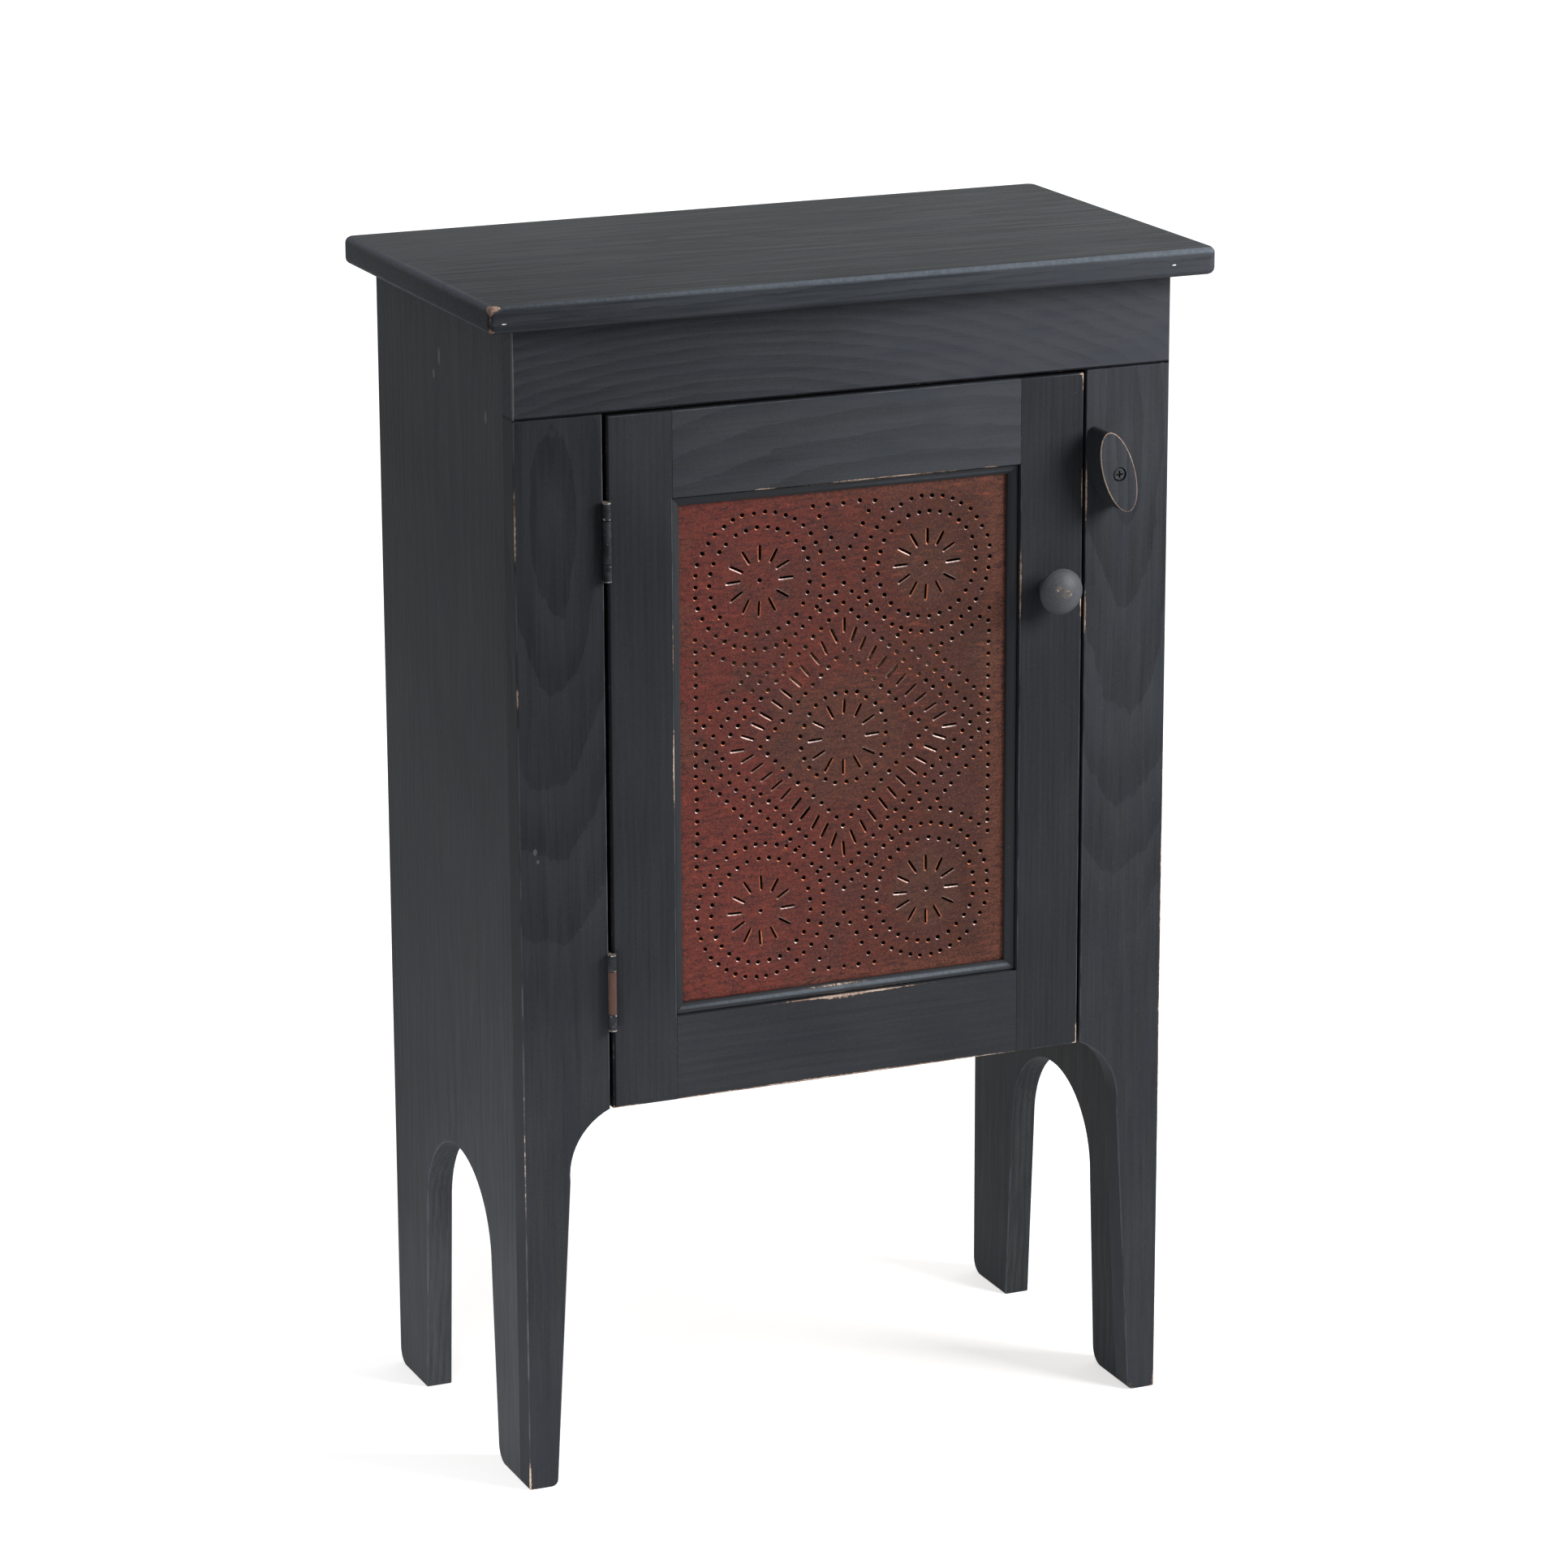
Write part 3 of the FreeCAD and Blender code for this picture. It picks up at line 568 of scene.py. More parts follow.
# %% Eased arrises
def ease(piece, width, wanted, shallowest=40, segments=3, rubbed=True):
    """Bevels the outward arrises whose middle passes the test, and masks their line if rubbed.

    shallowest is the angle in degrees by which two faces must turn to make an arris.
    """
    only(piece)
    select_nothing("EDGE")
    mesh = bmesh.new()
    mesh.from_mesh(piece.data)
    chosen = []
    for edge in mesh.edges:
        middle = (edge.verts[0].co + edge.verts[1].co) / 2
        outward = edge.is_manifold and edge.is_convex
        if outward and edge.calc_face_angle() > math.radians(shallowest) and wanted(middle):
            chosen.append(edge.index)
    mesh.free()
    for index in chosen:
        piece.data.edges[index].select = True
    while len(piece.data.materials) < 2:
        piece.data.materials.append(None)
    bpy.ops.object.mode_set(mode="EDIT")
    bpy.ops.mesh.bevel(
        offset=width, segments=segments, material=1, clamp_overlap=False, loop_slide=False,
    )
    leave_edit()
    on_flats = set()
    on_bevels = set()
    for face in piece.data.polygons:
        (on_bevels if face.material_index == 1 else on_flats).update(face.vertices)
        face.material_index = 0
    mask = piece.data.attributes.get("arris") or piece.data.attributes.new("arris", "FLOAT", "POINT")
    if rubbed:
        for index in on_bevels - on_flats:
            mask.data[index].value = 1.0
    return len(chosen)


def give(piece, material):
    piece.data.materials.clear()
    piece.data.materials.append(material)


def finish_piece(piece, body, material, replaced):
    """Smooths the shallow angles, gives the finish and puts the piece in the CAD nodes' stead."""
    only(piece)
    bpy.ops.object.shade_smooth_by_angle(angle=math.radians(14))
    give(piece, material)
    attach(piece, body)
    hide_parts(*replaced)


print("shaping helpers ready")

# %% [markdown]
# The case comes first: two sides, the header and the two stiles that run down into bracket
# legs. The front of the face frame is one plane, and the frame's own boxes give it. A board's
# arrises are picked by where they lie: a test takes the middle of an edge and says whether it
# is one that the maker would have eased, or a foot's corner that years of moving have worn.

# %% Arrises of the case
frame_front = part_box("header_rail")[0].y
frame_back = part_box("header_rail")[1].y
side_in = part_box("right_side")[0].x
side_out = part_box("right_side")[1].x
back_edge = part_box("left_side")[1].y
case_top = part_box("header_rail")[1].z
leg_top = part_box("case_bottom")[0].z
tiny = 0.1 * MM
front = frame_front / MM
side = side_out / MM
header_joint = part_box("header_rail")[0].z / MM


def side_arrises(place):
    """Outer back edge, both rims of the arch and the feet, without the joint to the stile."""
    if place.y < frame_back + tiny or place.z > case_top - tiny:
        return False
    outer = abs(place.x) > side_out - tiny
    below_case = place.z < leg_top - tiny and place.y < back_edge + tiny
    return outer or below_case


def stile_arrises(place):
    """Front arrises, the foot and the bracket's back rim, without the joint to the side."""
    on_front = place.y < frame_front + tiny
    foot = place.z < tiny and place.y < frame_back - tiny
    bracket = place.z < leg_top - tiny and abs(place.x) < side_in - tiny
    return on_front or foot or bracket


def header_arrises(place):
    return place.y < frame_front + tiny and place.z < case_top - tiny


def worn_side_foot(place):
    """The back corner of a side board's back foot and the arch's corner of its front foot."""
    through = place.z < tiny and side_in + tiny < abs(place.x) < side_out - tiny
    return through and (place.y > back_edge - tiny or frame_back + tiny < place.y < 0)


def worn_stile_foot(place):
    """The inner corner of a bracket leg's foot."""
    through = place.z < tiny and frame_front + tiny < place.y < frame_back - tiny
    return through and abs(place.x) < side_out - tiny


def behind_frame(place):
    """1 on the inside of the case, where there is no paint."""
    x, y, z = place.parts().values()
    between_sides = x.absolute().rise(side_in + 0.4 * MM, side_in + 0.2 * MM)
    past_frame = y.rise(frame_back - 0.4 * MM, frame_back - 0.2 * MM)
    return between_sides * past_frame * z.rise(leg_top, leg_top + 0.2 * MM)


print("case front at", round(front, 1), "mm, its sides at", round(side, 1), "mm")

# %% [markdown]
# Where a board is rubbed or chipped, where painted light brightens it and where a painted
# highlight runs is told by spots in millimetres, most of them on its front arrises, because
# that is how a maker would point them out. A grain is told by where the pith of its tree lay:
# far off for the sides' even lines, close to the face and leaning for the stiles' tall arches.


# %% Case boards
def up_arris(x, *spots):
    """Spots on an upright front arris: height, reach across it and along it, and a strength."""
    return [((x, front, z), (across, across, along), *rest) for z, across, along, *rest in spots]


def level_arris(z, *spots):
    """Spots on a level front arris: place, reach across it and along it, and a strength."""
    return [((x, front, z), (along, across, across), *rest) for x, across, along, *rest in spots]


# Each board's tone is partly painted light: the level boards are made brighter than the upright ones, as
# a sheen along level grain would make them.
left_side_choices = dict(
    tone=1.3, cool=0.97, figure=0.3, grainy=1.3, fine=600, nick_strength=0.12,
    painted_light=[
        ((-side, -10, 800), (30, 220, 130), 0.3),
        ((-side, 0, 60), (30, 240, 240), 0.36),
        ((-side, 128, 20), (30, 60, 150), 0.7),
    ],
    rubs=[
        ((-side, 145, 430), (6, 6, 260)),
        ((-side, -60, 1), (8, 60, 5)),
        ((-side, 110, 1), (8, 40, 5)),
    ],
    nicks=[
        ((-side, 19, 771), (3, 3, 9)),
        ((-side, -70, 746), (3, 2.5, 7)),
        ((-side, 30, 757), (3, 3, 5)),
    ],
)
right_side_choices = dict(
    tone=1.1, figure=0.3, cool=0.95, grainy=1.3, fine=600,
    rubs=[((side, 145, 300), (6, 6, 160)), ((side, -50, 1), (8, 60, 5))],
)
header_choices = dict(
    tone=1.12, cool=1.02, figure=0.28, grainy=0.75, joint_shadow=("z", header_joint, 2.0), nick_strength=0.12,
    painted_light=[((270, front, 775), (400, 30, 120), 0.55)],
    nicks=up_arris(-side, (784, 1.8, 75, 1.4)),
)
left_stile_choices = dict(
    tone=0.83, figure=0.32, plain_below=430, joint_shadow=("z", header_joint, 1.0), nick_strength=0.06,
    painted_highlight=up_arris(-side, (745, 1.2, 30, 0.8), (620, 1.2, 40, 0.5)),
    rubs=up_arris(-side, (683, 5, 40), (565, 6, 12), (245, 3, 95, 0.5), (4, 7, 26)),
    nicks=[((-230, front, 458), (2.2, 3, 3.2)), ((-228, front, 451), (1.6, 3, 2))],
)
right_stile_choices = dict(
    tone=1.03, figure=0.28, plain_below=430, joint_shadow=("z", header_joint, 1.0), nick_strength=0.2,
    painted_light=[((215, front, 740), (90, 20, 110), 0.3), ((225, front, 40), (60, 40, 130), 0.24)],
    rubs=[
        *up_arris(178, (664, 5, 28), (582, 5, 22)),
        *up_arris(side, (330, 3.5, 200), (2, 6, 14, 1.5)),
        ((221, front, 1), (8, 6, 9), 1.5),
    ],
    nicks=[((211.4, front, 139), (0.7, 1, 14)), ((215.2, front, 72), (0.7, 1, 24))],
)
left_side_grain = Grain("z", "y", (-400, 10, 300), 0.01, 4.5, 0.8, seed=8.0)
right_side_grain = Grain("z", "y", (400, 30, 300), 0.01, 4.8, 0.8, seed=11.0)
header_grain = Grain("x", "z", (-90, front, 672), 0.42, 8.0, 0.9, seed=14.0)
left_stile_grain = Grain("z", "x", (-214, front, 700), 0.27, 17.0, 1.7, seed=2.0)
right_stile_grain = Grain("z", "x", (206, front, 705), 0.24, 15.0, 1.6, seed=5.0)
case_boards = {
    "left_side": (side_arrises, left_side_grain, left_side_choices),
    "right_side": (side_arrises, right_side_grain, right_side_choices),
    "header_rail": (header_arrises, header_grain, header_choices),
    "left_stile": (stile_arrises, left_stile_grain, left_stile_choices),
    "right_stile": (stile_arrises, right_stile_grain, right_stile_choices),
}
for name, (arrises, grain, choices) in case_boards.items():
    board = copy_of(name, name + "_board")
    fill_fastener_holes(board)
    if name.endswith("side"):
        ease(board, 12.0 * MM, worn_side_foot, segments=7, rubbed=False)
    if name.endswith("stile"):
        ease(board, 4.5 * MM, worn_stile_foot, segments=5, rubbed=False)
    eased = ease(board, 1.1 * MM, arrises)
    paint = painted(name, grain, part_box(name), bare_where=behind_frame, **choices)
    finish_piece(board, "carcass", paint, [name])
    print(board.name, "eased along", eased, "edges,", len(board.data.polygons), "faces")

# %% [markdown]
# The top board's corners are worn round, the front left one less than the others, and its
# rims are rounder than a fillet that follows them could be after the corners are cut. So it
# is shaped again from a cube of the same size: the uprights are bevelled first, then the rims.

# %% Top board
top_rubs = [
    ((-264, -144, 834), (11, 9, 8), 1.75),
    ((-265, -144.5, 825), (4, 4, 16)),
    ((-264.5, -144, 817), (6, 5, 5), 1.6),
    ((-265, 145, 828), (6, 7, 12)),
    ((264, -141, 835), (6, 8, 3), 1.3),
]
# Painted light brightens the top's front rim towards the right, and painted highlights run along its
# upper arrises.
top_paint = painted(
    "top_board",
    Grain("x", "y", (-60, 40, 700), 0.03, 5.0, 0.9, seed=17.0),
    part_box("top_board"),
    top_rubs,
    nicks=[((-254.5, -144.5, 823), (2.5, 3, 0.5)), ((231, -144.5, 825), (2.2, 3, 0.55))],
    painted_highlight=[((230, -143.2, 833.6), (760, 3.4, 3.4)), ((-263.8, -20, 833.8), (4.2, 330, 4.2), 0.8)],
    painted_light=[((275, -144.5, 822), (430, 6, 16), 0.6), ((-250, 60, 835), (230, 220, 30), 0.16)],
    tone=1.18, cool=0.94, blue_below=832.5, figure=0.6, grainy=3.2, fine=420, edge=4.6,
)
top_low, top_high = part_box("top_board")
bpy.ops.object.select_all(action="DESELECT")
bpy.ops.mesh.primitive_cube_add(size=1, location=(top_low + top_high) / 2)
slab = bpy.context.object
slab.name = "top_slab"
slab.scale = top_high - top_low
bpy.ops.object.transform_apply(location=True, rotation=True, scale=True)


def on_rim(place):
    return min(place.z - top_low.z, top_high.z - place.z) < tiny


def front_left(place):
    return not on_rim(place) and place.x < 0 and place.y < 0


def other_corners(place):
    return not on_rim(place) and not front_left(place)


ease(slab, 4.5 * MM, front_left, segments=5, rubbed=False)
ease(slab, 8.0 * MM, other_corners, segments=7, rubbed=False)
ease(slab, 4.4 * MM, on_rim, segments=5, rubbed=False)
finish_piece(slab, "carcass", top_paint, ["top_board"])
print("top board rounded and painted,", len(slab.data.polygons), "faces")

# %% [markdown]
# The door is a frame of four boards with mortise and tenon joints, flush at the front. The
# inner arris of a stile is eased only along the opening, so the stiles are cut across at the
# opening's ends before the bevel.

# %% Door frame
door_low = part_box("door_hinge_stile")[0]
door_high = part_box("door_latch_stile")[1]
opening_half = -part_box("moulding_left")[0].x
opening_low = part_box("moulding_bottom")[0].z
opening_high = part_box("moulding_top")[1].z
door_side = door_high.x / MM
door_foot = door_low.z / MM
opening_side = opening_half / MM


def door_arrises(place):
    """The door's outline, front and back, and the front rim of its opening."""
    in_outline = (
        abs(abs(place.x) - door_high.x) < tiny
        or abs(place.z - door_low.z) < tiny
        or abs(place.z - door_high.z) < tiny
    )
    beside = abs(abs(place.x) - opening_half) < tiny and opening_low < place.z < opening_high
    above = abs(place.z - opening_low) < tiny or abs(place.z - opening_high) < tiny
    within = abs(place.x) < opening_half + tiny
    rim = place.y < frame_front + tiny and (beside or (above and within))
    return (in_outline or rim) and abs(place.y - (frame_front + frame_back) / 2) > 5 * MM


# The hinge stile's dark band along its outer edge is painted shadow, the shade in the gap beside the
# frame.
hinge_stile_choices = dict(
    tone=0.86, figure=0.1, grainy=0.7, joint_shadow=("x", door_side - 0.3, 2.2),
    painted_light=[((-130, front, 725), (52, 20, 80), 0.22), ((-130, front, 300), (52, 20, 80), 0.2)],
    rubs=[
        *up_arris(-opening_side, (505, 4, 40)),
        ((-opening_side, front, 590), (3, 4, 26), 0.8),
        *level_arris(door_foot, (-168, 4, 20)),
    ],
)
latch_stile_choices = dict(
    tone=0.81, figure=0.12, grainy=0.8,
    rubs=[
        *up_arris(door_side, (746, 5, 16), (670, 4, 24), (586, 6, 16), (276, 6, 16)),
        *up_arris(opening_side, (608, 4, 38)),
    ],
)
# As on the case, the rails are made brighter than the stiles, partly as painted light from a sheen along
# their grain.
top_rail_choices = dict(
    tone=1.2, figure=0.26, grainy=0.6, joint_shadow=("x", opening_side, 0.4),
    painted_light=[((80, front, 720), (210, 30, 120), 0.34)],
    rubs=level_arris(691, (-60, 4, 14), (35, 4, 66), (105, 4, 9, 1.1)),
)
bottom_rail_choices = dict(
    tone=0.98, figure=0.08, grainy=0.6, joint_shadow=("x", opening_side, 0.4),
    rubs=[
        *level_arris(door_foot, (-10, 3.4, 190, 1.5)),
        ((0, front, 329), (76, 4, 6), 1.1),
        ((-4, front, 327.8), (30, 4, 3.4), 1.75),
    ],
)
hinge_stile_grain = Grain("z", "x", (-420, -150, 300), 0.004, 4.8, 0.7, seed=20.0)
latch_stile_grain = Grain("z", "x", (430, -150, 300), 0.004, 4.2, 0.7, seed=23.0)
top_rail_grain = Grain("x", "z", (55, front, 640), 0.33, 17.0, 1.7, seed=26.0)
bottom_rail_grain = Grain("x", "z", (-20, -150, 60), 0.05, 7.0, 0.8, seed=29.0)
door_boards = {
    "door_hinge_stile": (hinge_stile_grain, hinge_stile_choices),
    "door_latch_stile": (latch_stile_grain, latch_stile_choices),
    "door_top_rail": (top_rail_grain, top_rail_choices),
    "door_bottom_rail": (bottom_rail_grain, bottom_rail_choices),
}
for name, (grain, choices) in door_boards.items():
    board = copy_of(name, name + "_board")
    fill_fastener_holes(board)
    if name.endswith("stile"):
        cut_across(board, opening_low)
        cut_across(board, opening_high)
    eased = ease(board, 0.9 * MM, door_arrises)
    finish_piece(board, "door", painted(name, grain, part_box(name), **choices), [name])
    print(board.name, "eased along", eased, "edges,", len(board.data.polygons), "faces")

# %% [markdown]
# A small moulding, mitred at the corners, runs round the opening and covers the sheet's rim.
# Its profile is a row of narrow faces, so even shallow turns count as arrises here. The paint
# on it is a little glossier than on the boards. Each run has its rubbed spots, and some have
# spots of painted highlight.

# %% Mouldings round the opening
mouldings = {
    "moulding_top": ([((20, -117, 690), (80, 5, 3))], [((60, -116, 687), (110, 6, 1.5), 0.25)]),
    "moulding_bottom": (
        [((-8, -115, 334.9), (44, 5, 1.2), 1.9), ((5, -117, 331), (60, 4, 3))],
        [((10, -115, 333.2), (210, 6, 1.9))],
    ),
    "moulding_left": ([((-122, -117, 500), (5, 6, 40))], []),
    "moulding_right": ([((122, -117, 420), (5, 6, 50))], []),
}
for name, (rubs, painted_highlight) in mouldings.items():
    along, across = "xz" if name in ("moulding_top", "moulding_bottom") else "zx"
    grain = Grain(along, across, (900, 100, 900), 0.0, 4.0, seed=len(name) + 30.0)
    run = copy_of(name, name + "_run")
    ease(run, 0.35 * MM, lambda place: place.y < frame_front + 5 * MM, shallowest=25)
    paint = painted(name, grain, rubs=rubs, painted_highlight=painted_highlight, tone=0.8, figure=0.1, gloss=0.08)
    finish_piece(run, "door", paint, [name])
    print(run.name, len(run.data.polygons), "faces")

# %% [markdown]
# The punched sheet is the cupboard's ornament. A maker lays a paper pattern on it and strikes
# each mark with a round or a flat punch, so every mark is a dimple with a hole at its bottom,
# and no two are quite alike. The pattern is drawn in millimetres about the middle of the
# panel: rosettes, dotted borders and diamonds, and slots that turn from level to upright.

# %% Pattern of the punches
tin_low, tin_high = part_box("tin_panel")
half_width = (tin_high.x - tin_low.x) / 2 / MM
half_height = (tin_high.z - tin_low.z) / 2 / MM
tin_middle = (tin_high.z + tin_low.z) / 2
tin_front = tin_low.y / MM
tin_thickness = tin_high.y - tin_low.y

dot_pitch = 7.9
border_x = half_width - 18.0
border_reach = 79.5
outer_diamond = border_x - 1.0
dotted_diamond_insets = (0, 13.0, 46.0)
slotted_diamond_inset = 29.0
rosette = Vector((half_width - 65.0, half_height - 63.5))
rosette_rings = (37.0, 47.5)
rosette_slot_radius = 19.5
centre = Vector((0, 0))
centre_ring = 32.0
centre_slot_radius = 21.5
print("panel to be punched:", round(half_width * 2), "by", round(half_height * 2), "mm")

# %% [markdown]
# Every figure comes down to a list of places for the round punch, or of places and leans for
# the flat one. Lines and rings are divided into even steps near the pitch, as with dividers.
# The panel is the same in its four quarters, so only one of them is drawn.


# %% Figures of the pattern
def around(middle_point, radius, degrees):
    angle = math.radians(degrees)
    return middle_point + Vector((math.cos(angle), math.sin(angle))) * radius


def along_line(start, end, pitch):
    """Places from start to end in even steps near the pitch, without the last one."""
    count = max(1, round((end - start).length / pitch))
    return [start.lerp(end, i / count) for i in range(count)]


def ring_of_dots(middle_point, radius):
    count = round(2 * math.pi * radius / dot_pitch)
    return [around(middle_point, radius, 360 * i / count) for i in range(count)]


def diamond_of_dots(half):
    corners = [Vector(c) * half for c in ((1, 0), (0, 1), (-1, 0), (0, -1))]
    sides = zip(corners, corners[1:] + corners[:1])
    return [place for start, end in sides for place in along_line(start, end, dot_pitch)]


def in_quarters(points):
    """The points with their mirror images left to right and top to bottom."""
    return [Vector((p.x * sx, p.y * sy)) for p in points for sx in (1, -1) for sy in (1, -1)]


def corner_gusset(radius=58.3, end_angle=-87.0, count=7):
    """Dots from the end of a side border round the rosette and back down to the border."""
    first = Vector((border_x, border_reach)) - rosette
    start = math.degrees(math.atan2(first.y, first.x))
    step = (end_angle - start) / (count - 1)
    bow = [around(rosette, radius, start + step * i) for i in range(count)]
    foot = Vector((border_x, bow[-1].y - (border_x - bow[-1].x)))
    return bow + along_line(bow[-1], foot, dot_pitch)[1:]


def crest(half=23.0, height=38.5, pitch=9.1, end_margin=15.5):
    """Right half of the small triangle at the end of the panel."""
    base = half_height - end_margin
    corner = Vector((half, base))
    tip = Vector((0, base - height))
    return along_line(Vector((0, base)), corner, half / 2) + along_line(corner, tip, pitch) + [tip]


def rosette_slots(middle_point, radius, count=12):
    leans = [360 * i / count for i in range(count)]
    return [(around(middle_point, radius, lean), lean) for lean in leans]


def diamond_slots(half, pitch=10.2, side_lean=20.0, top_lean=70.0):
    """Level at the side corners, upright at top and bottom, leaning more and more between."""
    corner, tip = Vector((half, 0)), Vector((0, half))
    found = [(corner, 0), (-corner, 0), (tip, 90), (-tip, 90)]
    edge = along_line(corner, tip, pitch)
    for i, place in enumerate(edge[1:], 1):
        lean = side_lean + (top_lean - side_lean) * i / len(edge)
        leans = [lean * sx * sy for sx in (1, -1) for sy in (1, -1)]
        found += zip(in_quarters([place]), leans)
    return found


print("figures ready")

# %% [markdown]
# Now the figures are laid out: five rosettes, a dotted border on each long side, three dotted
# diamonds with one of slots between them, gussets round the corner rosettes and a small crest
# at either end.

# %% Laying out the pattern
border_end = Vector((border_x, border_reach))
dots = [centre] + ring_of_dots(centre, centre_ring)
inner_ring, outer_ring = [ring_of_dots(rosette, radius) for radius in rosette_rings]
dots += in_quarters([rosette] + inner_ring + outer_ring)
dots += in_quarters(along_line(Vector((border_x, 0)), border_end, dot_pitch) + [border_end])
for inset in dotted_diamond_insets:
    dots += diamond_of_dots(outer_diamond - inset)
dots += in_quarters(corner_gusset() + crest())
slots = rosette_slots(centre, centre_slot_radius)
slots += diamond_slots(outer_diamond - slotted_diamond_inset)
for middle_point in in_quarters([rosette]):
    slots += rosette_slots(middle_point, rosette_slot_radius)
print(len(dots), "dots and", len(slots), "slots before the doubles are dropped")

# %% [markdown]
# One dimple and one slot are modelled, each from a circle pushed inwards ring by ring to the
# opening at its bottom. For the slot the circle's halves are drawn apart first. How deep each
# vertex lies on the sloping flank, or on the steep one, is kept in two attributes. They tell
# the finish where bare metal shows, on the sloping lower flank that faces the lamps, which is
# partly a painted highlight, and where painted shade darkens the steep upper flank.


# %% Dimple and slot
def struck_mark(name, sides, half_length, half_wide, steps):
    """A mark open at the bottom: steps are shrink along, shrink across, depth, shift and slip.

    shift and slip move the opening along and across, so that flanks slope on one side and
    stand steep on the other.
    """
    bpy.ops.object.select_all(action="DESELECT")
    facing_front = (quarter_turn, 0, 0)
    bpy.ops.mesh.primitive_circle_add(vertices=sides, radius=half_wide * MM, rotation=facing_front)
    mark = bpy.context.object
    mark.name = name
    bpy.ops.object.transform_apply(rotation=True)
    for end in (1, -1):
        select_nothing("VERT")
        for vertex in mark.data.vertices:
            vertex.select = vertex.co.x * end > tiny
        bpy.ops.object.mode_set(mode="EDIT")
        bpy.ops.transform.translate(value=(end * (half_length - half_wide) * MM, 0, 0))
        leave_edit()
    edit()
    for along, across, depth, shift, slip in steps:
        bpy.ops.mesh.extrude_region_move(TRANSFORM_OT_translate={"value": (0, depth * MM, 0)})
        bpy.ops.transform.resize(value=(along, 1, across), center_override=(0, 0, 0))
        bpy.ops.transform.translate(value=(shift * MM, 0, slip * MM))
    leave_edit()
    deepest = max(vertex.co.y for vertex in mark.data.vertices)
    sloping = mark.data.attributes.new("sloping", "FLOAT", "POINT")
    steep = mark.data.attributes.new("steep", "FLOAT", "POINT")
    for vertex in mark.data.vertices:
        depth = vertex.co.y / deepest
        upwards = max(-1.0, min(1.0, vertex.co.z / (half_wide * MM) * 1.6))
        at_end = half_length > half_wide and vertex.co.x < -0.72 * half_length * MM
        sloping.data[vertex.index].value = depth * (1.0 if at_end else 0.5 - 0.5 * upwards)
        steep.data[vertex.index].value = depth * (0.5 + 0.5 * upwards)
    return mark


def rim_of(mark):
    """The outer ring of a mark, in order round it."""
    outer = [vertex.co for vertex in mark.data.vertices if abs(vertex.co.y) < 0.001 * MM]
    return sorted(outer, key=lambda co: math.atan2(co.z, co.x))


dimple_radius = 1.85
gash_half = 6.0
gash_half_width = 1.45
dimple_steps = [(0.93, 0.93, 0.10, 0.0, 0.06), (0.80, 0.80, 0.45, 0.0, 0.22)]
gash_steps = [(0.97, 0.85, 0.12, 0.10, 0.10), (0.90, 0.60, 0.50, 0.40, 0.32)]
dimple = struck_mark("dimple", 12, dimple_radius, dimple_radius, dimple_steps)
gash = struck_mark("gash", 16, gash_half, gash_half_width, gash_steps)
print("dimple:", len(dimple.data.polygons), "faces; gash:", len(gash.data.polygons), "faces")

# %% [markdown]
# No blow lands quite where it was aimed, and none is quite as hard as the last. A random
# generator with a fixed seed stands in for the maker's hand, so the sheet comes out the same
# each time. A dot that would break into a mark already struck is made smaller or left out.

# %% Strokes of the punch
hand = random.Random(11)


def nudged(place):
    """A hand lands a little off the place it aims at."""
    return place + Vector((hand.gauss(0, 0.28), hand.gauss(0, 0.28)))


def struck(spot, lean, scale, flip=1):
    """Where a mark lands on the sheet: its place in mm, lean and scale, mirrored by flip -1."""
    shift = Matrix.Translation((spot.x * MM, tin_low.y, tin_middle + spot.y * MM))
    turn = Matrix.Rotation(math.radians(-lean), 4, "Y")
    return shift @ turn @ Matrix.Diagonal((scale * flip, 1, scale, 1))


marks = []
taken = []
for place, lean in slots:
    spot = nudged(place)
    lean += hand.gauss(0, 2.5) - (180 if lean > 45 else 0)
    run = Vector((math.cos(math.radians(lean)), math.sin(math.radians(lean)))) * gash_half
    taken += [(spot + run * share / 4, gash_half_width + 0.2) for share in range(-4, 5)]
    flip = -1 if run.x + run.y < 0 else 1
    placed = struck(spot, lean, hand.uniform(0.92, 1.03), flip)
    # A level slot gets the most silver: a painted reflection of the light overhead.
    marks.append((gash, placed, 0.74 * math.cos(math.radians(lean)) ** 2))
for place in dots:
    spot = nudged(place)
    room = min((spot - other).length - reach for other, reach in taken)
    scale = min(hand.uniform(0.92, 1.06), (room - 0.3) / dimple_radius)
    if scale > 0.5:
        taken.append((spot, dimple_radius * scale))
        # Each dot is turned so that its sloping flank, which carries a painted highlight, lies lower
        # left and faces the key lamp.
        placed = struck(spot, hand.uniform(-55, -15), scale)
        marks.append((dimple, placed, hand.choice((0.12, 0.5, 0.68))))
print(len(marks), "marks")

# %% [markdown]
# The flat sheet is a curve whose inner outlines are the rims of the marks, so that sheet and
# dimples share their vertices and can merge into one skin. A mesh face can't have holes, but
# Blender fills a flat curve between its outlines and makes faces of that when it is converted.

# %% Flat sheet
outline = bpy.data.curves.new("sheet_outline", "CURVE")
outline.dimensions = "2D"
outline.fill_mode = "BOTH"
left, bottom, right, top = tin_low.x, tin_low.z, tin_high.x, tin_high.z
loops = [[(left, bottom), (right, bottom), (right, top), (left, top)]]
for mark, placed, silvery in marks:
    loops.append([((placed @ co).x, (placed @ co).z) for co in rim_of(mark)])
for loop in loops:
    spline = outline.splines.new("POLY")
    spline.points.add(len(loop) - 1)
    for point, (x, z) in zip(spline.points, loop):
        point.co = (x / MM, z / MM, 0, 1)
    spline.use_cyclic_u = True
flat = bpy.data.objects.new("flat_sheet", outline)
bpy.context.collection.objects.link(flat)
only(flat)
bpy.ops.object.convert(target="MESH")
sheet = bpy.context.object
sheet.scale = (MM, MM, MM)
sheet.rotation_euler = (quarter_turn, 0, 0)
